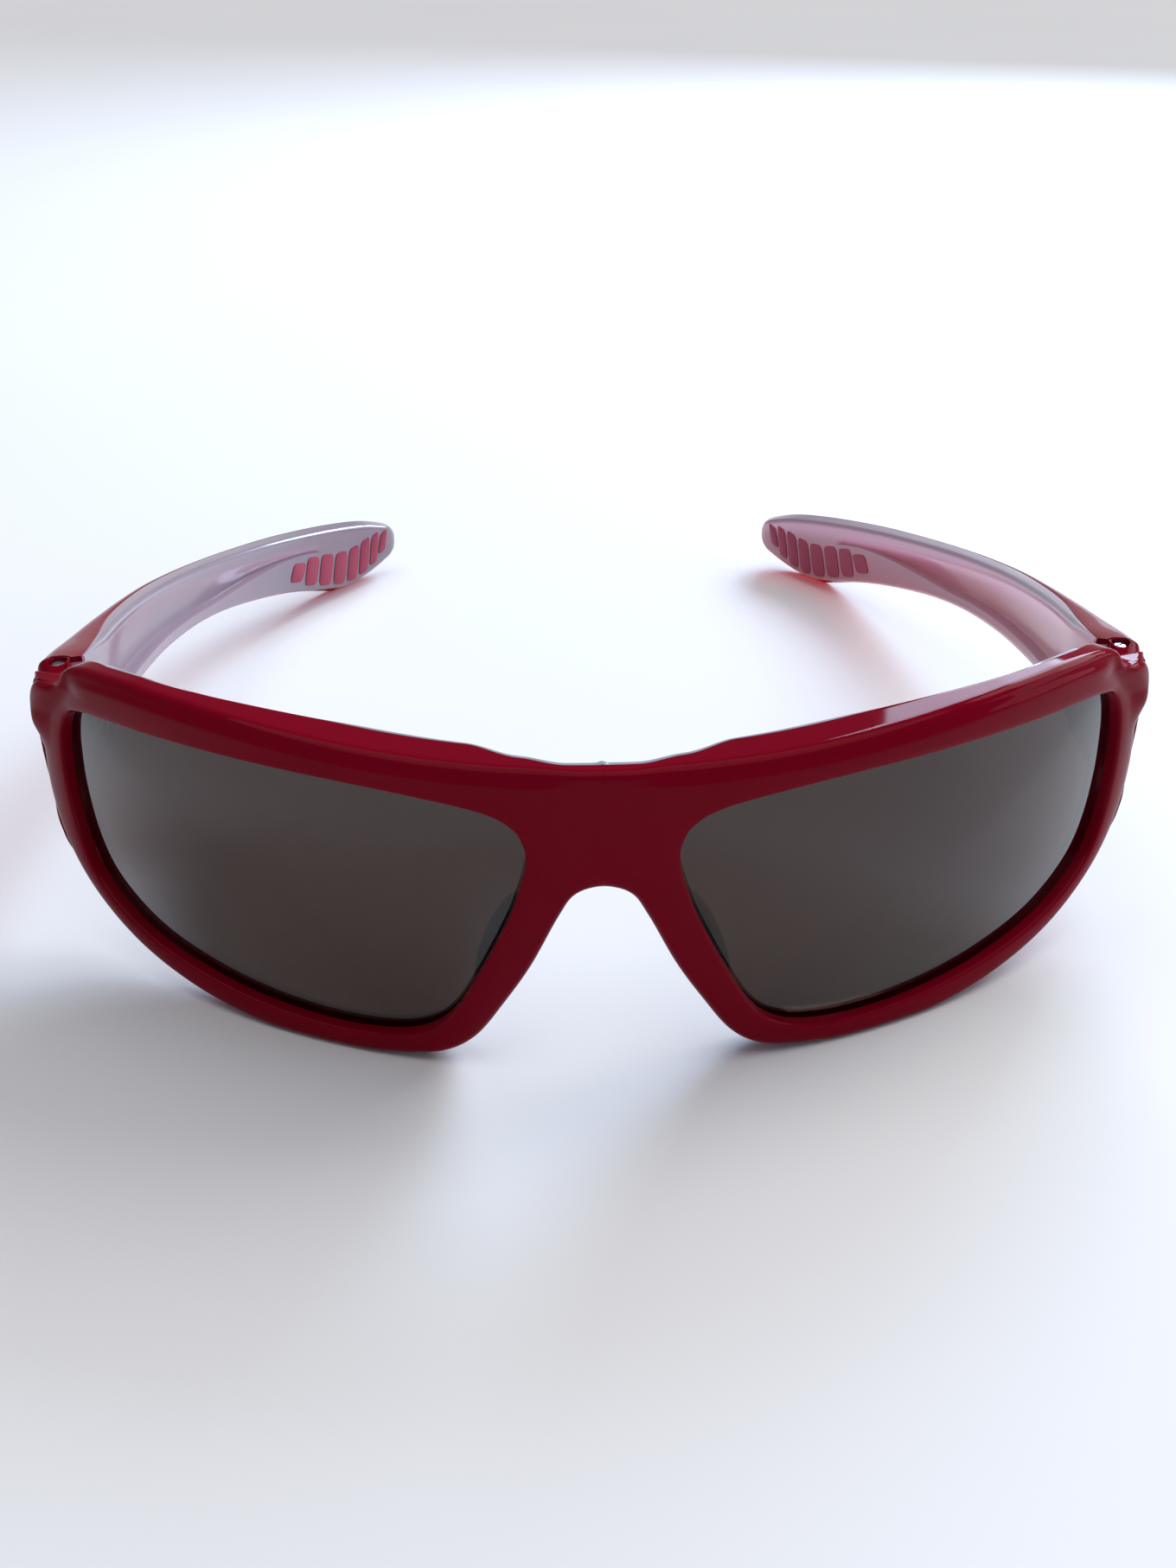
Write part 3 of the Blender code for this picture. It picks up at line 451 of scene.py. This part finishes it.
def make_lens(side, word):
    """Bulged lens whose edge sits in the front's groove."""
    edge = grown_opening(LENS_OVERLAP)
    middle = np.array((unroll(LENS_MIDDLE[0]), LENS_MIDDLE[1]))
    shares = np.array((1.0, 0.985, 0.97, 0.95, 0.9, 0.8, 0.68, 0.55, 0.42, 0.3, 0.18, 0.08))
    verts, faces = [], []
    count = len(edge)

    def sheet(depth):
        start = sum(len(v) for v in verts)
        for share in shares:
            u, z = (middle + (edge - middle) * share).T
            verts.append(wrapped(u, z, depth - LENS_BULGE * (1 - share**2), side))
        verts.append(wrapped(middle[:1], middle[1:], depth - LENS_BULGE, side).reshape(1, 3))
        faces.extend((grid_faces(len(shares), count) + start).tolist())
        last = start + (len(shares) - 1) * count
        centre = start + len(shares) * count
        faces.extend([[last + k, last + (k + 1) % count, centre] for k in range(count)])
        return start

    front, back = sheet(LENS_DEPTH), sheet(LENS_DEPTH + LENS_THICK)
    faces.extend([[front + k, front + (k + 1) % count, back + (k + 1) % count, back + k]
                  for k in range(count)])
    return new_object("lens_fine_" + word, np.vstack(verts), faces)


def make_nose_pad(side, word):
    """Soft domed pad on the back of a nose leg."""
    top, bottom = np.array((9.6, 21.6)), np.array((15.2, 8.6))
    centre, run = (top + bottom) / 2, bottom - top
    half_long = np.linalg.norm(run) / 2
    axis = run / (2 * half_long)
    across = np.array((-axis[1], axis[0]))
    angle = np.linspace(0, 2 * math.pi, 64, endpoint=False)
    rings = []
    for share, rise in [(1.0, 0.0)] + [
        (1.02 * math.cos(t), 0.5 + 2.4 * math.sin(t)) for t in np.linspace(0, math.pi / 2 * 0.97, 14)
    ]:
        flat = centre + np.outer(np.cos(angle), axis) * half_long * share
        flat = flat + np.outer(1.75 * share * np.sin(angle) + 0.35 * rise, across)
        u = unroll(flat[:, 0])
        seat = red_depth(u, flat[:, 1]) + BACKING_THICK + SKIN
        rings.append(wrapped(u, flat[:, 1], seat + rise, side))
    return loft("nose_pad_fine_" + word, rings, sharp=50)


# ---- the temples -------------------------------------------------------------------------------
class Temple:
    """Stations of a temple at many places along it, as arrays."""

    def __init__(self, places):
        self.places = np.asarray(places, float)
        rows = catmull(TEMPLE, self.places)
        self.edge = rows[:, :2]
        self.top, bottom, self.inner_bottom, self.width, self.bulge = rows[:, 2:].T
        self.bottom = np.maximum(bottom, 0.0)
        self.split = catmull(SHELL_SPLIT, self.places)[:, 0]
        self.top_split = catmull(TOP_SPLIT, self.places)[:, 0]
        self.lip = self.top - LIP_THICK
        self.lip_gap = SKIN / 2 * np.clip((self.top_split - self.split) / 0.2, -1, 1)
        last = len(TEMPLE) - 1
        ahead = catmull(TEMPLE, np.minimum(self.places + 0.05, last))[:, :2]
        behind = catmull(TEMPLE, np.maximum(self.places - 0.05, 0))[:, :2]
        heading = ahead - behind
        heading /= np.linalg.norm(heading, axis=1)[:, None]
        self.inward = np.stack([-heading[:, 1], heading[:, 0]], 1)
        self.inward[self.places == 0.0] = (-1.0, 0.0)

    def point(self, inset, z, side):
        """Places at an inset from the outer face and a height, drawn together at the tip."""
        into_tip = np.clip((self.places - TIP_START) / (len(TEMPLE) - 1 - TIP_START), 0, 1)
        shrink = np.sqrt(1 - 0.9 * into_tip**2)
        inset = self.width / 2 + (inset - self.width / 2) * shrink
        middle = (self.top + self.bottom) / 2
        z = middle + (z - middle) * shrink
        flat = self.edge + self.inward * inset[:, None]
        return place(side * flat[:, 0], flat[:, 1], z)

    def floor(self, inset):
        """Height of the underside at an inset."""
        return self.bottom + (self.inner_bottom - self.bottom) * np.minimum(inset / self.width, 1.0)


def temple_places():
    """Places of a temple's rings, closer together at the hinge and towards the tip."""
    last = len(TEMPLE) - 1
    body = np.linspace(1, last - 1, (last - 2) * SPLITS + 1)
    tip = last - 1 + np.sin(np.linspace(0, math.pi / 2, 18))[1:]
    return np.concatenate([np.linspace(0, 1, 20)[:-1], body, tip])


def stack(points):
    """Rings x points x 3 from a list of columns, each one point of every ring."""
    return np.stack(points, 1)


def make_shell(side, word):
    """Red outer shell of a temple, with a lip that runs in over the liner's top."""
    t = Temple(temple_places())
    height = t.top - t.bottom
    radius = np.minimum(TOP_ROUND, 0.62 * t.split)
    points = []
    for share in (1 - np.cos(np.linspace(0, math.pi, 33))) / 2:
        h = share * height
        corner = round_over(h, radius) + round_over(height - h, radius)
        points.append(t.point(corner - bulge_at(t.bulge, share), t.bottom + h, side))
    edge = np.minimum(0.25, 0.4 * (t.top_split - radius))
    under_lip = t.lip + t.lip_gap
    points += [t.point(inset, z, side) for inset, z in (
        (t.top_split - edge, t.top), (t.top_split - edge * 0.3, t.top - edge * 0.3),
        (t.top_split, t.top - edge), (t.top_split, under_lip), (t.split, under_lip),
        (t.split, (t.top + t.bottom) / 2), (t.split, t.floor(t.split)),
    )]
    return loft("temple_shell_fine_" + word, stack(points), sharp=45)


def make_liner(side, word):
    """Milky inner liner of a temple, with the long recess that runs out before the grip."""
    t = Temple(temple_places())
    start, top_start = t.split + SKIN, t.top_split + SKIN
    high = t.top - 1.15 - 1.6 * blend(3, 10, t.places)
    low = t.inner_bottom + 1.9 + 5.4 * blend(6.2, RECESS_END, t.places)
    low = np.minimum(low, high - 0.05)
    gone = blend(RECESS_END - 0.05, RECESS_END + 0.05, t.places)
    depth = RECESS_DEPTH * np.clip((high - low) / 3.0, 0, 1) * (1 - gone)
    depth = np.minimum(depth, 0.62 * (t.width - t.split))
    round_top = np.minimum(0.9, 0.85 * (t.width - top_start))
    round_low = np.minimum(1.1, 0.5 * (t.width - t.split))
    points = [t.point(start, t.floor(start), side), t.point(start, (t.top + t.bottom) / 2, side),
              t.point(start, t.lip - t.lip_gap, side), t.point(top_start, t.lip - t.lip_gap, side),
              t.point(top_start, t.top - 0.12, side), t.point(top_start + 0.04, t.top - 0.02, side)]
    for angle in np.linspace(0, math.pi / 2, 10):
        points.append(t.point(t.width - round_top * (1 - math.sin(angle)),
                              t.top - round_top * (1 - math.cos(angle)), side))
    lip = t.top - round_top
    points.append(t.point(t.width, (lip + high) / 2, side))
    for share in RECESS_SHARES:
        cove = math.sin(math.pi / 2 * min(share / 0.9, 1.0)) * (1.0 - blend(0.925, 0.975, share))
        points.append(t.point(t.width - depth * cove, high + (low - high) * share, side))
    base = t.floor(t.width - round_low)
    points.append(t.point(t.width, (low + base + round_low) / 2, side))
    for angle in np.linspace(0, math.pi / 2, 8):
        points.append(t.point(t.width - round_low * (1 - math.cos(angle)),
                              base + round_low * (1 - math.sin(angle)), side))
    return loft("temple_liner_fine_" + word, stack(points), sharp=45)


def pad_bars(side, name, floor, proud, margin):
    """Slanting bars of the tip grip, each a rounded block in the temple's inner face."""
    verts, faces = [], []
    pitch = (PAD_END - PAD_START) / PAD_BARS
    half = pitch * 0.415 + margin / 9.5
    turn = np.linspace(0, 2 * math.pi, 40, endpoint=False)
    across = np.sign(np.cos(turn)) * np.abs(np.cos(turn)) ** BAR_POWER
    up = np.sign(np.sin(turn)) * np.abs(np.sin(turn)) ** BAR_POWER
    for bar in range(PAD_BARS):
        rings = []
        centre = PAD_START + pitch * (bar + 0.5)
        share = (centre - PAD_START) / (PAD_END - PAD_START)
        tall = 3.2 * math.sqrt(max(0.1, 1 - abs(2 * share - 1) ** 3)) + margin
        for inset, grow in ((-floor, 1.0), (proud * 0.6, 1.0), (proud, 0.9)):
            places = centre + half * across * grow + 0.10 * up
            t = Temple(places)
            z = t.inner_bottom + 3.8 + tall * up * grow
            rings.append(t.point(t.width + inset, z, side))
        base = sum(len(v) for v in verts)
        last = base + (len(rings) - 1) * len(turn)
        verts.append(np.vstack(rings))
        faces.extend((grid_faces(len(rings), len(turn)) + base).tolist())
        faces.append([base + k for k in range(len(turn))])
        faces.append([last + k for k in reversed(range(len(turn)))])
    return new_object(name, np.vstack(verts), faces, sharp=45)


def badge(side, name, margin, floor, rims):
    """Oval plate in the temple's outer face, or its pocket when grown by a margin."""
    turn = np.linspace(0, 2 * math.pi, 64, endpoint=False)
    rings = []
    for out, share in [(-floor, 1.0)] + rims:
        rings.append(place(side * (70.0 + out), BADGE_Y + (BADGE_LONG * share + margin) * np.cos(turn),
                           BADGE_Z + (BADGE_HIGH * share + margin) * np.sin(turn)))
    return loft(name, rings, sharp=50)


def pin_sector(side, radius, first, last, name):
    """Upright sector round the pin; angles run from straight back towards the middle."""
    corners = [(PIN_X, PIN_Y)]
    for degrees in np.linspace(first, last, 9):
        angle = math.radians(degrees)
        corners.append((PIN_X - radius * math.sin(angle), PIN_Y + radius * math.cos(angle)))
    return prism(name, flipped(corners, side), 0, ABOVE_ALL)


def room(side, wide, step):
    """Space round the hinge barrel, and above the step round the screw's head or the hub."""
    steps = [(BARREL_ROOM, HINGE_LOW - 0.8), (BARREL_ROOM, step), (wide, step + 0.01),
             (wide, ABOVE_ALL)]
    return turned("room", side * PIN_X, PIN_Y, steps)


def make_hub(side):
    """Ring of the front round the screw's head, its top sloping with the surfaces it joins."""
    turn = np.linspace(0, 2 * math.pi, 64, endpoint=False)
    rings = []
    for radius, drop in ((HUB_RADIUS, None), (HUB_RADIUS, 0.12), (HUB_RADIUS - 0.04, 0.04),
                         (HUB_RADIUS - 0.12, 0.01)):
        x, y = PIN_X + radius * np.cos(turn), PIN_Y + radius * np.sin(turn)
        top = TEMPLE[0, 2] + np.where(y < PIN_Y, 0.33, -0.22) * (y - PIN_Y)
        top = top - round_over(np.clip(TEMPLE[0, 0] - x, 0, TOP_ROUND), TOP_ROUND)
        rings.append(place(side * x, y, COVER_LOW + 0.02 if drop is None else top - drop))
    return loft("hub", rings)


def fold_paths():
    """What the front gives up on both sides for the temples' inner corners to fold past."""
    last = FOLD_CLEARANCE + FOLD_ANGLE
    return [pin_sector(side, FOLD_REACH, PATH_FIRST, last, "path") for side in (1, -1)]


def front_rooms():
    """Rooms in the front for the hinge barrels and the screws' heads."""
    return [room(side, HEAD_ROOM, COVER_LOW) for side in (1, -1)]


def temple_cutters(side):
    """Room in a temple for the barrel and hub, and the corner cut away so that it can fold."""
    wedge = pin_sector(side, WEDGE_REACH, FOLD_CLEARANCE, WEDGE_LAST, "wedge")
    return room(side, HUB_RADIUS + 0.06, COVER_LOW - 0.1), wedge


def make_screw(side, word):
    """Hinge screw with a rounded, slotted head."""
    low = HINGE_HIGH + 0.3
    profile = [(0.35, low + 0.72), (0.62, low + 0.70), (0.84, low + 0.62), (1.0, low + 0.46),
               (PIN_HEAD_RADIUS, low + 0.25), (PIN_HEAD_RADIUS, low), (0.5, low), (0.5, HINGE_LOW - 0.4)]
    screw = turned("hinge_screw_fine_" + word, side * PIN_X, PIN_Y, profile)
    turn = math.radians(28)
    run = Vector((math.cos(turn), math.sin(turn)))
    off = Vector((-run.y, run.x)) * 0.16
    middle = Vector((side * PIN_X, PIN_Y))
    plan = [middle + run * 1.5 + off, middle - run * 1.5 + off,
            middle - run * 1.5 - off, middle + run * 1.5 - off]
    return carve(screw, prism("slot", [tuple(p) for p in plan], low + 0.38, low + 2))


# ---- materials ---------------------------------------------------------------------------------
def ramp(tree, source, stops):
    node = tree.nodes.new("ShaderNodeValToRGB")
    while len(node.color_ramp.elements) < len(stops):
        node.color_ramp.elements.new(0.5)
    for element, (position, colour) in zip(node.color_ramp.elements, stops):
        element.position = position
        element.color = (*colour, 1.0)
    tree.links.new(source, node.inputs["Fac"])
    return node.outputs["Color"]


def noise(tree, scale, detail=4.0, stretch=(1, 1, 1)):
    coords = tree.nodes.new("ShaderNodeTexCoord")
    mapping = tree.nodes.new("ShaderNodeMapping")
    mapping.inputs["Scale"].default_value = stretch
    texture = tree.nodes.new("ShaderNodeTexNoise")
    texture.inputs["Scale"].default_value = scale
    texture.inputs["Detail"].default_value = detail
    tree.links.new(coords.outputs["Object"], mapping.inputs["Vector"])
    tree.links.new(mapping.outputs["Vector"], texture.inputs["Vector"])
    return texture.outputs["Fac"]


def let_light_through(material, colour, share, glow=None, glow_share=0.0):
    """Lets some light pass a coloured plastic, and glow in it from behind."""
    tree = material.node_tree
    output, shader = tree.nodes["Material Output"], tree.nodes["Principled BSDF"]
    base = shader.outputs["BSDF"]
    if glow:
        back, mix = tree.nodes.new("ShaderNodeBsdfTranslucent"), tree.nodes.new("ShaderNodeMixShader")
        back.inputs["Color"].default_value = (*glow, 1.0)
        mix.inputs["Fac"].default_value = glow_share
        tree.links.new(base, mix.inputs[1])
        tree.links.new(back.outputs["BSDF"], mix.inputs[2])
        base = mix.outputs["Shader"]
    path, scale = tree.nodes.new("ShaderNodeLightPath"), tree.nodes.new("ShaderNodeMath")
    scale.operation = "MULTIPLY"
    scale.inputs[1].default_value = share
    clear, mix = tree.nodes.new("ShaderNodeBsdfTransparent"), tree.nodes.new("ShaderNodeMixShader")
    clear.inputs["Color"].default_value = (*colour, 1.0)
    tree.links.new(path.outputs["Is Shadow Ray"], scale.inputs[0])
    tree.links.new(scale.outputs["Value"], mix.inputs["Fac"])
    tree.links.new(base, mix.inputs[1])
    tree.links.new(clear.outputs["BSDF"], mix.inputs[2])
    tree.links.new(mix.outputs["Shader"], output.inputs["Surface"])
    return material


def surface(name, dark, light, rough, *, scale=60.0, bump=0.0, bump_scale=900.0, stretch=(1, 1, 1),
            **constants):
    """Principled material whose colour and roughness drift a little over the surface."""
    material = bpy.data.materials.new(name)
    material.use_nodes = True
    tree = material.node_tree
    shader = tree.nodes["Principled BSDF"]
    tree.links.new(ramp(tree, noise(tree, scale), ((0.3, dark), (0.7, light))), shader.inputs["Base Color"])
    span = tree.nodes.new("ShaderNodeMapRange")
    span.inputs["To Min"].default_value, span.inputs["To Max"].default_value = rough
    tree.links.new(noise(tree, bump_scale, 6.0, stretch), span.inputs["Value"])
    tree.links.new(span.outputs["Result"], shader.inputs["Roughness"])
    if bump:
        node = tree.nodes.new("ShaderNodeBump")
        node.inputs["Strength"].default_value = bump
        node.inputs["Distance"].default_value = 0.0001
        tree.links.new(noise(tree, bump_scale, 6.0, stretch), node.inputs["Height"])
        tree.links.new(node.outputs["Normal"], shader.inputs["Normal"])
    for socket, value in constants.items():
        shader.inputs[socket.replace("_", " ")].default_value = value
    return material


def make_materials():
    red = dict(dark=(0.165, 0.0004, 0.0085), light=(0.19, 0.0006, 0.011), rough=(0.035, 0.06),
               Specular_IOR_Level=0.05)
    milky = dict(dark=(0.275, 0.285, 0.34), light=(0.31, 0.315, 0.375), rough=(0.2, 0.26), bump_scale=120.0,
                 Coat_Weight=1.0, Coat_Roughness=0.07)
    return {
        "frame_red": surface("crimson_plastic", **red),
        "temple_red": let_light_through(surface("crimson_temple_plastic", **red), (0.85, 0.015, 0.06), 0.75),
        "milky_plastic": surface("milky_plastic", **milky),
        "temple_milky": let_light_through(surface("milky_temple_plastic", **milky), (1.0, 0.88, 0.94), 0.75,
                                          (0.95, 0.5, 0.62), 0.34),
        "lens_tint": surface("tinted_lens", (0.029, 0.0135, 0.009), (0.034, 0.0165, 0.0115), (0.0, 0.01),
                             scale=20.0, Transmission_Weight=1.0, IOR=1.45, Coat_Weight=0.25, Coat_IOR=1.5,
                             Coat_Roughness=0.02),
        "pad_rubber": surface("red_rubber", (0.33, 0.03, 0.075), (0.40, 0.045, 0.1), (0.5, 0.62),
                              bump=0.25, bump_scale=2500.0),
        "hinge_steel": surface("hinge_steel", (0.55, 0.55, 0.57), (0.66, 0.66, 0.68), (0.2, 0.34),
                               Metallic=1.0, bump=0.1, stretch=(1, 1, 8)),
        "badge_metal": surface("badge_metal", (0.70, 0.70, 0.72), (0.78, 0.78, 0.80), (0.1, 0.18), Metallic=1.0),
    }


# ---- assembly ----------------------------------------------------------------------------------
def build():
    looks = make_materials()
    slots = {part["node"]: part["material_slot"] for part in record["subparts"]}
    for node, item in frame["nodes"].items():
        item.data.materials.clear()
        item.data.materials.append(looks[slots[node]])

    red, milky = looks["frame_red"], looks["milky_plastic"]
    ends = [make_endpiece(side) for side in (1, -1)]
    front = carve(make_front_frame(), *fold_paths(), added=ends)
    front = carve(front, *front_rooms(), added=[make_hub(side) for side in (1, -1)])
    show(front, red, "body", "frame_red", "front_frame")
    backing = carve(make_front_backing(), *front_rooms(), *fold_paths())
    show(backing, milky, "body", "milky_plastic", "front_backing")
    for side, word in ((1, "left"), (-1, "right")):
        lens, nose, screw = "lens_" + word, "nose_pad_" + word, "hinge_screw_" + word
        show(make_lens(side, word), looks["lens_tint"], "body", "lens_tint", lens)
        show(make_nose_pad(side, word), looks["pad_rubber"], "body", "pad_rubber", nose)
        show(make_screw(side, word), looks["hinge_steel"], "body", "hinge_steel", screw)
        build_temple(side, word, looks)


def build_temple(side, word, looks):
    body = "temple_" + word
    third = (HINGE_HIGH - HINGE_LOW) / 3
    low, high = HINGE_LOW + third + 0.15, HINGE_HIGH - third - 0.15

    pocket = badge(side, "pocket", 0.05, 0.65, [(3.0, 1.0)])
    shell = carve(make_shell(side, word), *temple_cutters(side), pocket, sharp=45)
    leaf = prism("leaf", flipped(LEAF_ROOM, side), low - 1.4, high + 0.8)
    bars = pad_bars(side, "bars", 0.5, 1.0, 0.02)
    liner = carve(make_liner(side, word), *temple_cutters(side), leaf, bars, sharp=45)
    show(shell, looks["temple_red"], body, "frame_red", "temple_shell_" + word)
    show(liner, looks["temple_milky"], body, "milky_plastic", "temple_liner_" + word)
    grip = pad_bars(side, "tip_pad_fine_" + word, 0.45, 0.22, 0.0)
    show(grip, looks["pad_rubber"], body, "pad_rubber", "tip_pad_" + word)
    rims = [(0.3, 1.0), (0.45, 0.97), (0.5, 0.92), (0.42, 0.84), (0.42, 0.74), (0.5, 0.6), (0.54, 0.3)]
    plate = badge(side, "temple_badge_fine_" + word, 0.0, 0.4, rims)
    show(plate, looks["badge_metal"], body, "badge_metal", "temple_badge_" + word)


# ---- studio ------------------------------------------------------------------------------------
def area_light(name, position, aim, size, power, colour):
    light = bpy.data.lights.new(name, "AREA")
    light.shape = "RECTANGLE"
    light.size, light.size_y = size
    light.energy = power
    light.color = colour
    item = bpy.data.objects.new(name, light)
    item.location = position
    item.rotation_euler = (Vector(aim) - Vector(position)).to_track_quat("-Z", "Y").to_euler()
    bpy.context.scene.collection.objects.link(item)


def sun_light(name, strength, spread, heading, colour):
    light = bpy.data.lights.new(name, "SUN")
    light.energy, light.angle, light.color = strength, math.radians(spread), colour
    item = bpy.data.objects.new(name, light)
    item.rotation_euler = Vector(heading).to_track_quat("-Z", "Y").to_euler()
    bpy.context.scene.collection.objects.link(item)


def make_studio():
    """Pale floor, a sky that darkens upwards, two windows and two broad suns."""
    bpy.ops.mesh.primitive_plane_add(size=60.0, location=(0, 0, 0))
    floor = bpy.context.object
    floor.name = "floor"
    floor.data.materials.append(surface("floor_paint", (0.78, 0.78, 0.79), (0.80, 0.80, 0.81), (0.7, 0.8),
                                        scale=4.0, Specular_IOR_Level=0.2))
    world = bpy.data.worlds.new("studio")
    world.use_nodes = True
    tree = world.node_tree
    coords, split = tree.nodes.new("ShaderNodeTexCoord"), tree.nodes.new("ShaderNodeSeparateXYZ")
    tree.links.new(coords.outputs["Generated"], split.inputs["Vector"])
    stops = ((0.0, (0.60, 0.61, 0.64)), (0.12, (0.34, 0.35, 0.38)), (0.4, (0.19, 0.195, 0.22)))
    sky = ramp(tree, split.outputs["Z"], stops)
    tree.links.new(sky, tree.nodes["Background"].inputs["Color"])
    bpy.context.scene.world = world
    area_light("window", (0.345, 0.67, 0.476), (0.05, -0.06, 0.04), (0.38, 0.36), 7.0, (0.62, 0.77, 1.0))
    area_light("side_window", (0.42, -0.03, 0.20), (0, -0.06, 0.05), (0.30, 0.20), 0.4, (0.86, 0.9, 1.0))
    sun_light("daylight", 1.4, 35, (-0.62, -0.45, -0.62), (1.0, 0.99, 0.97))
    sun_light("skylight", 1.1, 60, (0, 0, -1), (1.0, 1.0, 1.0))


def make_camera():
    """Camera above and in front of the bridge, in the design frame's millimetres and degrees."""
    position = place(-4.5, -147.31, 125.12)
    yaw, pitch, roll = math.radians(1.85), math.radians(-28.31), math.radians(-0.2)
    ahead = Vector((math.sin(yaw) * math.cos(pitch), math.cos(yaw) * math.cos(pitch), math.sin(pitch)))
    right = Vector((math.cos(yaw), -math.sin(yaw), 0))
    up = right.cross(ahead)
    right, up = right * math.cos(roll) + up * math.sin(roll), up * math.cos(roll) - right * math.sin(roll)
    camera = bpy.data.objects.new("camera", bpy.data.cameras.new("camera"))
    camera.matrix_world = Matrix((
        (right.x, up.x, -ahead.x, position[0]),
        (right.y, up.y, -ahead.y, position[1]),
        (right.z, up.z, -ahead.z, position[2]),
        (0, 0, 0, 1),
    ))
    camera.data.lens = 37.03
    camera.data.shift_x, camera.data.shift_y = -0.011, -0.037
    camera.data.clip_start = 0.005
    bpy.context.scene.collection.objects.link(camera)
    bpy.context.scene.camera = camera
    bpy.context.scene.view_settings.view_transform = "Standard"


build()
make_studio()
make_camera()
